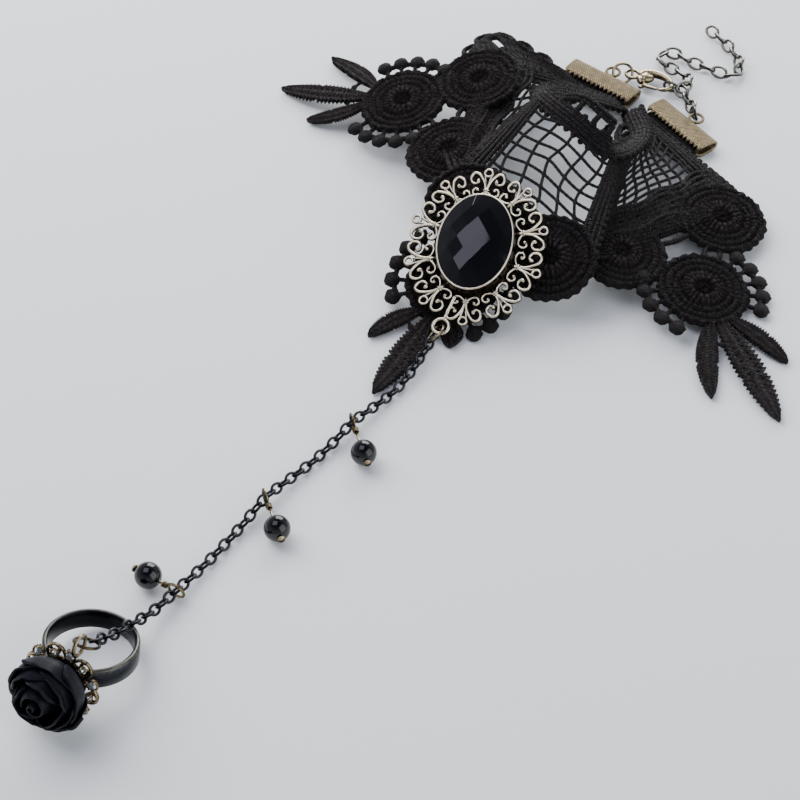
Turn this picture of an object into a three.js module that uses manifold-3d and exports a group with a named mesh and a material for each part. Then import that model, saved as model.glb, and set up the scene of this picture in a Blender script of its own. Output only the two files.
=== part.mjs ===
// Lace wrist cuff lying with its clasp closed, with a brooch, a hand chain and a rose finger ring.
// Millimetres, +Z up. The lace is laid out round a hub between the two ribbon clamps.
import * as THREE from 'three';
import { mergeVertices } from 'three/addons/utils/BufferGeometryUtils.js';
import Module from 'manifold-3d';

const wasm = await Module();
wasm.setup();

// Clearances
const gap = 0.3;                     // between neighbouring pieces
const weld = 0.2;                    // how far joined pieces run into each other

// Lace
const laceReach = 100;               // plan distance that the lace tables' shares follow
const archRise = 24;                 // height of the arm opening's rim, which the rises follow
const laceThickness = 1.6;
const rosetteRadius = 10;
const rosetteSides = 12;
const rimWidth = 4.6;                // dense band round the arm opening
const sideCordWidth = 2.4;           // cords down each side of a fan's net
const slitShare = 0.045;             // half of the slit between neighbours' cords, of laceReach
const netCord = 0.9;
const netColumns = 5;
const netRows = 4;
const netPull = 0.09;                // how far the net's lines are drawn out of straight
const netFoot = 0.45;                // how far up the upper rosettes the net ends, of their radius
const bobbleRadius = 1.8;
const bobbleRing = 14.6;             // from the lower rosette's middle to its bobbles
const bobblesPerSide = 4;
const bobbleStart = 52;               // degrees from the middle leaf to the first bobble
const bobblePitch = 21;
const bobbleThickness = 1.2;
const spokeWidth = 1;
const leafWidth = 5.4;
const sideLeafWidth = 4.2;
const leafThickness = 1.1;
const leafTipHeight = 0.65;

// Ribbon clamps
const clampLength = 21;
const clampDepth = 7;
const clampHeight = 3.2;
const clampPlate = 0.8;
const clampTeeth = 15;
const toothDepth = 1.2;
const clampLoopRadius = 1.8;
const clampLoopWire = 0.4;
const clampLoopHeight = 2.1;         // middle of the loop above the floor

// Clasp and its ring
const claspRingRadius = 2.6;
const claspRingWire = 0.4;
const claspRingTurn = -10;           // azimuth from the clamp's loop to the clasp's eye
const claspRingTilt = 42;
const claspLength = 10.4;
const claspWidth = 6.8;
const claspThickness = 2.4;
const hookThickness = 1;
const claspTurn = -28;               // azimuth from its eye to its hook
const claspWall = 1.2;
const claspEyeRadius = 1.7;
const claspEyeWire = 0.45;
const leverThickness = 0.8;
const leverWidth = 0.9;
const leverPinRadius = 0.35;
const leverTab = 1.3;
const cheekSlot = 3.8;               // slot that the lever's eye turns in

// Extender chain
const extenderLinkLength = 5;
const extenderLinkWidth = 3.6;
const extenderWire = 0.8;
const extenderTwist = 42;            // degrees each link leans, left and right in turn

// Brooch
const stoneWidth = 18;
const stoneLength = 25;
const stoneCrown = 2.6;
const stonePavilion = 2.2;
const stoneTableShare = 0.56;
const rimWall = 1.2;
const rimHeight = 3.4;
const backPlate = 0.9;
const palmettes = 10;
const palmetteReach = 6.8;            // from the rim's wall to the palmette's top
const scrollHeight = 1.1;
const broochEast = -0.464;            // middle of its back, shares of laceReach and archRise
const broochNorth = -0.661;
const broochRise = 0.472;
const broochSlope = 21.5;              // degrees from level, as the lace under it
const broochFacing = -112;           // azimuth of its face
const broochTurn = -12;              // azimuth of its width
const broochLoopRadius = 1.9;
const broochLoopWire = 0.5;

// Hand chain with its beads
const chainDiameter = 1.7;
const chainSteps = 26;
const jumpRingRadius = 2.6;
const jumpRingWire = 0.35;
const settingRingTilt = 50;          // degrees from level
const beadRadius = 3;
const beadBore = 0.65;
const pinWire = 0.3;
const pinHeadRadius = 0.95;
const pinHeadHeight = 0.8;
const pinLoopRadius = 1.9;
const pinLoopWire = 0.35;
const pinStem = 1.2;

// Finger ring
const bandOuter = 20;
const bandWall = 1.1;
const bandWidth = 4.6;
const bandTilt = 17;                 // degrees, rose side raised
const bandTurn = -115;               // azimuth that the rose faces
const flowerRadius = 8.8;
const flowerPlate = 1.1;
const flowerPetals = 6;
const flowerPetalRadius = 3;
const flowerStoneRadius = 1.1;
const flowerLoopRadius = 2.2;
const flowerLoopWire = 0.4;
const roseRadius = 8.6;
const roseHeight = 10.5;
const rosePetals = 5;
const roseSides = 20;
const rosePetalStep = 0.22;           // how far a petal's edge stands out, of the radius
const rosePetalWind = 0.3;           // turns from foot to top
const roseSeat = 0.25;               // from the plate's face to the rose, past the stones

// Rosettes, each fan's two upper ones and its lower one, as shares of laceReach and archRise
const fans = [
  {
    first: { east: -0.438, north: -0.041, rise: 0.50 },
    second: { east: -0.521, north: -0.282, rise: 0.375 },
    lower: { east: -0.640, north: -0.070, rise: 0.30 },
    leaves: [
      { east: -0.835, north: 0.187 }, { east: -0.968, north: 0.059 }, { east: -0.896, north: -0.072 },
    ],
  },
  {
    first: { east: -0.477, north: -0.529, rise: 0.54 },
    second: { east: -0.286, north: -0.683, rise: 0.42 },
    lower: { east: -0.522, north: -0.718, rise: 0.21 },
    leaves: [
      { east: -0.725, north: -0.853 }, { east: -0.712, north: -1.034 }, { east: -0.529, north: -0.890 },
    ],
  },
  {
    first: { east: -0.107, north: -0.625, rise: 0.25 },
    second: { east: 0.157, north: -0.482, rise: 0.16 },
    lower: { east: 0.087, north: -0.723, rise: 0.13 },
    leaves: [
      { east: 0.076, north: -1.050 }, { east: 0.225, north: -1.120 }, { east: 0.267, north: -0.940 },
    ],
  },
];

// Half of a palmette's outline from its foot to its top, and its holes, as shares of palmetteReach
const palmetteOutline = [
  { out: -0.08, side: 0.34 }, { out: 0.08, side: 0.43 }, { out: 0.24, side: 0.41 }, { out: 0.35, side: 0.31 },
  { out: 0.42, side: 0.52 }, { out: 0.53, side: 0.68 }, { out: 0.70, side: 0.72 }, { out: 0.86, side: 0.61 },
  { out: 0.90, side: 0.42 }, { out: 0.87, side: 0.22 }, { out: 0.96, side: 0.15 }, { out: 1.00, side: 0.07 },
];
const palmetteHoles = [
  { out: 0.15, side: 0.22, radius: 0.10 }, { out: 0.66, side: 0.44, radius: 0.17 },
];

// Rim of the arm opening from the left clamp round to the right one, shares as above
const rimStations = [
  { east: -0.060, north: -0.022, rise: 0.07 },
  { east: -0.166, north: -0.105, rise: 0.50 },
  { east: -0.290, north: -0.201, rise: 0.88 },
  { east: -0.222, north: -0.337, rise: 1.00 },
  { east: -0.124, north: -0.384, rise: 0.75 },
  { east: -0.030, north: -0.236, rise: 0.38 },
  { east: -0.028, north: -0.045, rise: 0.07 },
];

// Where the clamps lie: middle of the plate, shares of laceReach, and azimuth of its length
const clampPlaces = [
  { name: 'left', east: -0.102, north: 0.073, along: 140.7 },
  { name: 'right', east: 0.095, north: -0.109, along: -54.6 },
];

// Routes, millimetres from the hub: chosen points that the chains follow
// The extender starts at the link that the clasp holds, in millimetres from that link's middle: its tail
// goes up out of the clasp and away to the free end, its short run turns towards the right clamp's loop.
const extenderTail = [
  [0, 0, 0], [3.3, -0.9, 0.6], [4.6, 2.2, 0.8], [2.6, 6.2, 0], [-0.4, 9.4, -0.3], [-1.9, 12.2, -0.4],
  [-0.8, 14.6, -0.5], [1.9, 15.0, -0.5], [5.8, 11.8, -0.5], [9.6, 9.2, -0.5], [13.4, 7.0, -0.5],
  [16.6, 5.4, -0.5], [19.0, 7.6, -0.5], [19.6, 12.0, -0.5], [18.3, 16.2, -0.5], [16.4, 20.2, -0.5],
  [13.8, 24.4, -0.5],
];
const extenderShort = [[0, 0, 0], [2.6, -2.0, 0], [4.0, -5.6, -0.2]];  // then the right clamp's loop
const chainRoute = [
  [-63.2, -99.4, 1.6], [-66.2, -103.2, 1.0], [-70.4, -107.9, 1.4], [-75.7, -113.7, 2.3],
  [-79.6, -118.4, 1.3], [-84.6, -124.4, 1.0], [-89.6, -129.7, 1.4], [-94.6, -135.6, 2.3], [-99.0, -141.8, 1.3],
  [-103.9, -148.8, 1.0], [-108.6, -155.4, 1.4], [-112.4, -160.7, 2.3], [-116.6, -166.6, 3.4],
  [-118.9, -170.0, 5.2], [-120.6, -172.6, 7.0], [-123.2, -176.6, 9.5],
];
// Beads: which route point holds the pin's loop, and where the bead lies
const beadPlaces = [
  { point: 3, east: -73.0, north: -123.3 },
  { point: 7, east: -91.6, north: -144.6 },
  { point: 11, east: -118.6, north: -157.2 },
];

const up = new THREE.Vector3(0, 0, 1);
const radians = THREE.MathUtils.degToRad;
const place = (row, lift = 0) => new THREE.Vector3(
  row.east * laceReach, row.north * laceReach, row.rise * archRise + lift);
const towards = (from, to) => to.clone().sub(from).normalize();
const heading = (degrees) => new THREE.Vector3(Math.cos(radians(degrees)), Math.sin(radians(degrees)), 0);

// Solids from geometries, and joins and cuts between them
function toSolid(geometry) {
  const bare = geometry.clone();
  bare.deleteAttribute('normal');
  bare.deleteAttribute('uv');
  const merged = mergeVertices(bare, 1e-4);
  return new wasm.Manifold(new wasm.Mesh({
    numProp: 3,
    vertProperties: new Float32Array(merged.attributes.position.array),
    triVerts: new Uint32Array(merged.index.array),
  }));
}

const join = (geometries) => geometries.map(toSolid).reduce((sum, solid) => sum.add(solid));

function toGeometry(solid) {
  const mesh = solid.getMesh();
  const geometry = new THREE.BufferGeometry();
  geometry.setAttribute('position', new THREE.BufferAttribute(new Float32Array(mesh.vertProperties), 3));
  geometry.setIndex(new THREE.BufferAttribute(new Uint32Array(mesh.triVerts), 1));
  geometry.computeVertexNormals();
  return geometry;
}

// Frame whose x axis is given, with z as near the second direction as it can be
function frameAlong(origin, xAxis, zNear) {
  const x = xAxis.clone().normalize();
  const y = zNear.clone().cross(x).normalize();
  const z = x.clone().cross(y);
  return new THREE.Matrix4().makeBasis(x, y, z).setPosition(origin);
}

// Frame whose z axis is given, with x as near the second direction as it can be
function frameFacing(origin, zAxis, xNear) {
  const z = zAxis.clone().normalize();
  const y = z.clone().cross(xNear).normalize();
  const x = y.clone().cross(z);
  return new THREE.Matrix4().makeBasis(x, y, z).setPosition(origin);
}

// Straight bar of a rectangular section between two points, its flat face square to the normal
function bar(from, to, width, thickness, normal = up) {
  const along = to.clone().sub(from);
  const middle = from.clone().add(to).multiplyScalar(0.5);
  const geometry = new THREE.BoxGeometry(along.length(), width, thickness);
  return geometry.applyMatrix4(frameAlong(middle, along, normal));
}

// Flat band laid along a curve: a long box whose slices are moved onto the curve
function band(curve, steps, width, thickness, normalAt) {
  const geometry = new THREE.BoxGeometry(1, width, thickness, steps, 1, 1);
  const positions = geometry.attributes.position;
  const vertex = new THREE.Vector3();
  for (let index = 0; index < positions.count; index += 1) {
    vertex.fromBufferAttribute(positions, index);
    const share = THREE.MathUtils.clamp(vertex.x + 0.5, 0, 1);
    const frame = frameAlong(curve.getPoint(share), curve.getTangent(share), normalAt(share));
    vertex.x = 0;
    vertex.applyMatrix4(frame);
    positions.setXYZ(index, vertex.x, vertex.y, vertex.z);
  }
  return geometry;
}

// Round wire along an open curve
function wire(curve, steps, radius, sides) {
  const section = new THREE.Shape();
  for (let side = 0; side < sides; side += 1) {
    const angle = side / sides * Math.PI * 2;
    const method = side === 0 ? 'moveTo' : 'lineTo';
    section[method](radius * Math.cos(angle), radius * Math.sin(angle));
  }
  section.closePath();
  return new THREE.ExtrudeGeometry(section, { steps, extrudePath: curve, bevelEnabled: false });
}

const ringAt = (frame, radius, wireRadius, sides = 12, wireSides = 5) => (
  new THREE.TorusGeometry(radius, wireRadius, wireSides, sides).applyMatrix4(frame));

// Lace
function fanNormal(fan) {
  const lower = place(fan.lower);
  const normal = place(fan.first).sub(lower).cross(place(fan.second).sub(lower)).normalize();
  return normal.z < 0 ? normal.negate() : normal;
}

function rosette(centre, normal) {
  const half = laceThickness / 2;
  const valley = half * 0.55;
  const profile = [
    [0, half], [rosetteRadius * 0.5, valley], [rosetteRadius * 0.84, half], [rosetteRadius, valley],
    [rosetteRadius, -half], [0, -half],
  ].map(([radius, height]) => new THREE.Vector2(radius, -height));
  const geometry = new THREE.LatheGeometry(profile, rosetteSides);
  geometry.rotateX(-Math.PI / 2);
  return geometry.applyMatrix4(frameFacing(centre, normal, new THREE.Vector3(1, 0, 0)));
}

// Slender leaf from a base point down to its tip on the floor
function leaf(base, tip, width) {
  const length = base.distanceTo(tip);
  const shape = new THREE.Shape();
  const half = width / 2;
  const stalk = 0.7;
  shape.moveTo(-weld, -stalk);
  shape.quadraticCurveTo(length * 0.30, -half * 1.9, length, -0.15);
  shape.lineTo(length, 0.15);
  shape.quadraticCurveTo(length * 0.30, half * 1.9, -weld, stalk);
  shape.closePath();
  const geometry = new THREE.ExtrudeGeometry(shape, {
    depth: leafThickness, bevelEnabled: false, curveSegments: 4,
  });
  geometry.translate(0, 0, -leafThickness / 2);
  return geometry.applyMatrix4(frameAlong(base, tip.clone().sub(base), up));
}

const polar = (degrees, radius) => new THREE.Vector2(
  Math.cos(radians(degrees)) * radius, Math.sin(radians(degrees)) * radius);

// Scalloped edge on one side of the leaves: bobbles on spokes, with the gaps between spokes cut through
function bobbleEdge(side) {
  const halfBobble = THREE.MathUtils.radToDeg(Math.asin(bobbleRadius / bobbleRing));
  const halfSpoke = halfBobble * 0.35;
  const inside = rosetteRadius - weld * 4;
  const middles = [];
  for (let count = 0; count < bobblesPerSide; count += 1) {
    middles.push(bobbleStart + count * bobblePitch);
  }
  const outline = [];
  middles.forEach((middle, count) => {
    if (count > 0) {
      outline.push(polar(side * (middle - bobblePitch / 2), bobbleRing + spokeWidth * 0.3));
    }
    outline.push(polar(side * (middle - halfBobble), bobbleRing));
    outline.push(polar(side * (middle - halfBobble / 2), bobbleRing + bobbleRadius * 0.87));
    outline.push(polar(side * (middle + halfBobble / 2), bobbleRing + bobbleRadius * 0.87));
    outline.push(polar(side * (middle + halfBobble), bobbleRing));
  });
  outline.push(polar(side * (middles[bobblesPerSide - 1] + halfSpoke), inside));
  [...middles].reverse().forEach((middle) => outline.push(polar(side * (middle - halfSpoke), inside)));
  const shape = new THREE.Shape(outline);
  middles.slice(1).forEach((middle, count) => {
    const before = middles[count];
    shape.holes.push(new THREE.Path([
      polar(side * (before + halfSpoke), rosetteRadius),
      polar(side * (middle - halfSpoke), rosetteRadius),
      polar(side * (middle - halfBobble * 0.8), bobbleRing - spokeWidth * 0.7),
      polar(side * (before + halfBobble * 0.8), bobbleRing - spokeWidth * 0.7),
    ]));
  });
  const geometry = new THREE.ExtrudeGeometry(shape, { depth: bobbleThickness, bevelEnabled: false });
  return geometry.translate(0, 0, -bobbleThickness / 2);
}

function bobbleRow(fan, normal) {
  const centre = place(fan.lower);
  const middleTip = place({ ...fan.leaves[1], rise: 0 });
  const frame = frameFacing(centre, normal, middleTip.clone().sub(centre));
  return [-1, 1].map((side) => bobbleEdge(side).applyMatrix4(frame));
}

const rimPoints = rimStations.map((row) => place(row));
const rimCurve = new THREE.CatmullRomCurve3(rimPoints, false, 'centripetal');
const rimShare = (station) => station / (rimStations.length - 1);

// Net of one fan: cords across and down between the rim, the upper rosettes and the two sides
function net(corners, fromShare, toShare, sideBends) {
  const rimAt = (s) => rimCurve.getPoint(THREE.MathUtils.lerp(fromShare, toShare, s));
  const waistAt = (s) => corners.first.clone().lerp(corners.second, s);
  const sideAt = (t, start, end, bend) => {
    const middle = bend || start.clone().add(end).multiplyScalar(0.5);
    return new THREE.QuadraticBezierCurve3(start, middle, end).getPoint(t);
  };
  const startRim = rimAt(0);
  const endRim = rimAt(1);
  const pointAt = (s, t) => {
    const ruled = rimAt(s).multiplyScalar(1 - t).add(waistAt(s).multiplyScalar(t));
    const sides = sideAt(t, startRim, corners.first, sideBends[0]).multiplyScalar(1 - s)
      .add(sideAt(t, endRim, corners.second, sideBends[1]).multiplyScalar(s));
    const flat = startRim.clone().lerp(endRim, s).multiplyScalar(1 - t)
      .add(corners.first.clone().lerp(corners.second, s).multiplyScalar(t));
    return ruled.add(sides).sub(flat);
  };
  const acrossCord = netCord / startRim.distanceTo(endRim) / 1.4;
  const downCord = netCord / startRim.distanceTo(corners.first);
  const sideCord = sideCordWidth / startRim.distanceTo(endRim) / 1.4;
  const pulled = (s, t) => new THREE.Vector2(
    s + netPull * (s - 0.5) * Math.sin(Math.PI * t), t + netPull * Math.sin(Math.PI * s) * Math.sin(Math.PI * t));
  const sheet = new THREE.Shape([[0, 0], [1, 0], [1, 1], [0, 1]].map(([s, t]) => new THREE.Vector2(s, t)));
  for (let column = 0; column < netColumns; column += 1) {
    for (let row = 0; row < netRows; row += 1) {
      const west = column / netColumns + (column === 0 ? sideCord : acrossCord / 2);
      const east = (column + 1) / netColumns - (column === netColumns - 1 ? sideCord : acrossCord / 2);
      const top = row / netRows + downCord / 2;
      const bottom = (row + 1) / netRows - downCord / 2;
      sheet.holes.push(new THREE.Path(
        [[west, top], [west, bottom], [east, bottom], [east, top]].map(([s, t]) => pulled(s, t))));
    }
  }
  const geometry = new THREE.ExtrudeGeometry(sheet, { depth: 1, bevelEnabled: false });
  const positions = geometry.attributes.position;
  const step = 0.01;
  for (let index = 0; index < positions.count; index += 1) {
    const s = positions.getX(index);
    const t = positions.getY(index);
    const point = pointAt(s, t);
    const across = pointAt(Math.min(s + step, 1), t).sub(pointAt(Math.max(s - step, 0), t));
    const down = pointAt(s, Math.min(t + step, 1)).sub(pointAt(s, Math.max(t - step, 0)));
    const normal = across.cross(down).normalize();
    const lift = (positions.getZ(index) - 0.5) * netCord;
    positions.setXYZ(index, ...point.addScaledVector(normal, lift).toArray());
  }
  return geometry;
}

function clampFrame(row) {
  const middle = new THREE.Vector3(row.east * laceReach, row.north * laceReach, clampHeight / 2);
  return frameAlong(middle, heading(row.along), up);
}

// y of each clamp's own frame on which its teeth lie, towards the lace
const toothSide = { left: 1, right: -1 };

function lace() {
  const pieces = [band(rimCurve, 18, rimWidth, laceThickness, () => new THREE.Vector3(-0.35, -0.35, 0.87))];
  const slit = slitShare * laceReach;
  const shares = [[0, rimShare(2)], [rimShare(2), rimShare(4)], [rimShare(4), 1]];
  fans.forEach((fan, index) => {
    const normal = fanNormal(fan);
    const first = place(fan.first);
    const second = place(fan.second);
    const lower = place(fan.lower);
    const across = second.clone().sub(first).normalize();
    for (const centre of [first, second, lower]) {
      pieces.push(rosette(centre, normal));
    }
    const middle = place({ ...fan.leaves[1], rise: 0 });
    fan.leaves.forEach((row, number) => {
      const tip = place({ ...row, rise: 0 }, leafTipHeight);
      const toMiddle = middle.clone().sub(lower).setZ(0).normalize();
      const toTip = tip.clone().sub(lower).setZ(0).normalize();
      const out = toMiddle.lerp(toTip, 0.7);
      const local = out.sub(normal.clone().multiplyScalar(out.dot(normal))).normalize();
      const base = lower.clone().addScaledVector(local, rosetteRadius - weld);
      pieces.push(leaf(base, tip, number === 1 ? leafWidth : sideLeafWidth));
    });
    pieces.push(...bobbleRow(fan, normal));
    const outer = rosetteRadius - sideCordWidth / 2;
    const towardsNet = first.clone().add(second).multiplyScalar(0.5).sub(lower).normalize();
    const rise = towardsNet.multiplyScalar(rosetteRadius * netFoot);
    const corners = {
      first: first.clone().addScaledVector(across, -outer).add(rise),
      second: second.clone().addScaledVector(across, outer).add(rise),
    };
    pieces.push(net(corners, shares[index][0], shares[index][1], clampBends(index)));
    for (const [from, to] of [[first, second], [first, lower], [second, lower]]) {
      pieces.push(bar(from, to, spokeWidth * 2, laceThickness * 0.8, normal));
    }
  });
  for (let index = 0; index < fans.length - 1; index += 1) {
    pieces.push(bar(place(fans[index].second), place(fans[index + 1].first), slit, laceThickness * 0.8));
  }
  clampPlaces.forEach((row) => pieces.push(endTape(row)));
  return join(pieces);
}

// The net's side next to a clamp bends out round the clamp's outer end
function clampBends(index) {
  const bends = [null, null];
  const row = index === 0 ? clampPlaces[0] : clampPlaces[1];
  if (index !== 1) {
    const local = new THREE.Vector3(clampLength * 0.42, toothSide[row.name] * (clampDepth / 2 + 1), 0);
    bends[index === 0 ? 0 : 1] = local.applyMatrix4(clampFrame(row));
  }
  return bends;
}

// Woven end that the clamp's jaws hold: it reaches into the fold, clear of both plates
function endTape(row) {
  const depth = clampDepth;
  const thick = clampHeight - 2 * clampPlate - 2 * gap;
  const tape = new THREE.BoxGeometry(clampLength - 2, depth, thick);
  tape.translate(0, toothSide[row.name] * (clampDepth / 2), 0);
  return tape.applyMatrix4(clampFrame(row));
}

// Ribbon clamp: two toothed plates joined by a spine, with a loop on the spine
function clampSolid(row) {
  const side = toothSide[row.name];
  const halfLength = clampLength / 2;
  const spine = -side * clampDepth / 2;
  const edge = side * clampDepth / 2;
  const plate = new THREE.Shape();
  plate.moveTo(-halfLength, spine);
  plate.lineTo(halfLength, spine);
  const pitch = clampLength / clampTeeth;
  for (let tooth = clampTeeth; tooth > 0; tooth -= 1) {
    plate.lineTo(-halfLength + tooth * pitch - 0.02, edge - side * toothDepth);
    plate.lineTo(-halfLength + (tooth - 0.5) * pitch, edge);
  }
  plate.lineTo(-halfLength, edge - side * toothDepth);
  plate.closePath();
  const sheet = () => new THREE.ExtrudeGeometry(plate, { depth: clampPlate, bevelEnabled: false });
  const back = new THREE.BoxGeometry(clampLength, clampPlate, clampHeight);
  const loop = new THREE.TorusGeometry(clampLoopRadius, clampLoopWire, 5, 12);
  loop.translate(0, -side * (clampDepth / 2 + clampLoopRadius), clampLoopHeight - clampHeight / 2);
  return join([
    sheet().translate(0, 0, clampHeight / 2 - clampPlate),
    sheet().translate(0, 0, -clampHeight / 2),
    back.translate(0, spine + side * clampPlate / 2, 0),
    loop,
  ]);
}

const loopCentre = (row) => new THREE.Vector3(
  0, -toothSide[row.name] * (clampDepth / 2 + clampLoopRadius), clampLoopHeight - clampHeight / 2)
  .applyMatrix4(clampFrame(row));

// Clasp: its frame has x from the eye to the hook's end, and the lever on the side y < 0
const claspRingDirection = heading(claspRingTurn);
const claspRingCentre = loopCentre(clampPlaces[0]).addScaledVector(claspRingDirection, claspRingRadius);
const claspDirection = heading(claspTurn);
const claspEye = claspRingCentre.clone().addScaledVector(claspRingDirection, claspRingRadius);
const claspFrame = frameAlong(claspEye, claspDirection, up);

const claspShape = {
  start: claspEyeRadius,
  get pivot() { return new THREE.Vector2(claspLength * 0.40, -claspWidth / 2 + claspWall * 0.7); },
  get tip() { return claspLength * 0.80; },
};

function oval(centreX, radiusX, radiusY, segments) {
  const points = [];
  for (let index = 0; index < segments; index += 1) {
    const angle = index / segments * Math.PI * 2;
    points.push(new THREE.Vector2(centreX + radiusX * Math.cos(angle), radiusY * Math.sin(angle)));
  }
  return points;
}

function slab(points, height) {
  const geometry = new THREE.ExtrudeGeometry(new THREE.Shape(points), { depth: height, bevelEnabled: false });
  return geometry.translate(0, 0, -height / 2);
}

function claspBody() {
  const middle = claspLength / 2 + claspShape.start;
  const shell = toSolid(slab(oval(middle, claspLength / 2, claspWidth / 2, 16), claspThickness));
  const window = toSolid(slab(
    oval(claspLength * 0.76, claspLength * 0.285, claspWidth / 2 - claspWall, 12), claspThickness * 2));
  const { pivot, tip } = claspShape;
  const mouthLength = tip - pivot.x;
  const mouth = new THREE.BoxGeometry(mouthLength, claspWidth * 0.66, claspThickness * 2);
  mouth.translate(pivot.x + mouthLength / 2, -claspWidth / 2, 0);
  const cheek = new THREE.BoxGeometry(cheekSlot, cheekSlot, leverThickness + 2 * gap);
  cheek.translate(pivot.x, pivot.y, 0);
  const pin = new THREE.CylinderGeometry(leverPinRadius, leverPinRadius, claspThickness, 8);
  pin.rotateX(Math.PI / 2).translate(pivot.x, pivot.y, 0);
  const eye = new THREE.TorusGeometry(claspEyeRadius, claspEyeWire, 5, 12);
  const thin = new THREE.BoxGeometry(claspLength, claspWidth * 2, claspThickness);
  const trim = (side) => toSolid(thin.clone().translate(
    pivot.x + 1.6 + claspLength / 2, 0, side * (hookThickness + claspThickness) / 2));
  return shell.subtract(window).subtract(trim(1)).subtract(trim(-1)).subtract(toSolid(mouth)).subtract(toSolid(cheek))
    .add(toSolid(pin)).add(toSolid(eye));
}

// Lever: an eye round the pin, an arm that closes the mouth and a tab for the thumb
function claspLever() {
  const { pivot, tip } = claspShape;
  const eyeRadius = leverPinRadius + gap + 0.55;
  const hub = new THREE.CylinderGeometry(eyeRadius, eyeRadius, leverThickness, 10);
  hub.rotateX(Math.PI / 2).translate(pivot.x, pivot.y, 0);
  const bore = new THREE.CylinderGeometry(leverPinRadius + gap, leverPinRadius + gap, claspThickness, 8);
  bore.rotateX(Math.PI / 2).translate(pivot.x, pivot.y, 0);
  const armLength = tip - gap - pivot.x;
  const arm = new THREE.BoxGeometry(armLength, leverWidth, leverThickness);
  arm.translate(pivot.x + armLength / 2, pivot.y - 0.2, 0);
  const tab = new THREE.BoxGeometry(leverWidth, leverTab, leverThickness);
  tab.translate(pivot.x + 0.2, pivot.y - leverTab / 2 - 0.5, 0);
  return toSolid(hub).add(toSolid(arm)).add(toSolid(tab)).subtract(toSolid(bore));
}

// One oval link, its length along x and its flat face leaning about that length
function chainLink(frame, lean) {
  const wireRadius = extenderWire / 2;
  const link = new THREE.TorusGeometry(extenderLinkWidth / 2 - wireRadius, wireRadius, 5, 10);
  const stretch = (extenderLinkLength / 2 - wireRadius) / (extenderLinkWidth / 2 - wireRadius);
  const positions = link.attributes.position;
  for (let vertex = 0; vertex < positions.count; vertex += 1) {
    positions.setX(vertex, positions.getX(vertex) * stretch);
  }
  return link.rotateX(radians(lean)).applyMatrix4(frame);
}

// Links fused where they cross, evenly along a route, the last in a frame of its own where one is given
function linkRun(points, lastFrame) {
  const curve = new THREE.CatmullRomCurve3(points, false, 'centripetal');
  const pitch = extenderLinkLength - 2 * extenderWire + weld;
  const count = Math.ceil(curve.getLength() / pitch - 0.1);
  const links = [];
  for (let index = 1; index <= count; index += 1) {
    const share = index / count;
    const frame = frameAlong(curve.getPointAt(share), curve.getTangentAt(share), up);
    const lean = extenderTwist * (index % 2 ? 1 : -1);
    links.push(index === count && lastFrame ? chainLink(lastFrame, 90) : chainLink(frame, lean));
  }
  return links;
}

const heldLinkCentre = new THREE.Vector3(
  claspShape.start + claspLength - claspWall / 2, 0, 0).applyMatrix4(claspFrame);

function extenderChain() {
  const from = (point) => new THREE.Vector3(...point).add(heldLinkCentre);
  const loop = loopCentre(clampPlaces[1]);
  const back = towards(loop, from(extenderShort[2])).setZ(0);
  const lastLink = loop.addScaledVector(back, (extenderLinkLength - extenderWire) / 2);
  return join([
    chainLink(frameAlong(heldLinkCentre, claspDirection, up), 90),
    ...linkRun([...extenderShort.map(from), lastLink], frameAlong(lastLink, back, up)),
    ...linkRun(extenderTail.map(from)),
  ]);
}

// Brooch, in its own frame: x across, y up its long axis, z out of its face
const broochNormal = heading(broochFacing).multiplyScalar(Math.sin(radians(broochSlope)))
  .setZ(Math.cos(radians(broochSlope)));
const broochCentre = new THREE.Vector3(broochEast * laceReach, broochNorth * laceReach, broochRise * archRise);
const broochFrame = frameFacing(broochCentre, broochNormal, heading(broochTurn));

const seatWidth = stoneWidth + 2 * gap;
const seatLength = stoneLength + 2 * gap;
const outerWidth = seatWidth + 2 * rimWall;
const outerLength = seatLength + 2 * rimWall;

// One palmette, cast flat: two big scrolls, two small ones at the base and a small ring at the top
function palmetteGeometry() {
  const at = (row, mirror = 1) => new THREE.Vector2(row.out * palmetteReach, row.side * palmetteReach * mirror);
  const outline = palmetteOutline.map((row) => at(row, -1))
    .concat([...palmetteOutline].reverse().map((row) => at(row)));
  const shape = new THREE.Shape(outline);
  palmetteHoles.forEach((row) => {
    for (const mirror of [-1, 1]) {
      const middle = at(row, mirror);
      const points = oval(0, row.radius * palmetteReach, row.radius * palmetteReach, 6);
      shape.holes.push(new THREE.Path(points.map((point) => point.add(middle))));
    }
  });
  const geometry = new THREE.ExtrudeGeometry(shape, { depth: scrollHeight, bevelEnabled: false });
  return geometry.translate(0, 0, -scrollHeight / 2);
}

function palmetteFrame(angle) {
  const onRim = new THREE.Vector2(Math.cos(angle) * outerWidth / 2, Math.sin(angle) * outerLength / 2);
  const outward = new THREE.Vector2(onRim.x / outerWidth ** 2, onRim.y / outerLength ** 2).normalize();
  return new THREE.Matrix4().makeRotationZ(Math.atan2(outward.y, outward.x))
    .setPosition(onRim.x, onRim.y, scrollHeight / 2);
}

const loopAngle = radians(-104);
const broochLoopAt = () => {
  const reach = palmetteReach + broochLoopRadius * 0.8;
  return new THREE.Vector3(
    Math.cos(loopAngle) * (outerWidth / 2 + reach), Math.sin(loopAngle) * (outerLength / 2 + reach), scrollHeight / 2);
};

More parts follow.
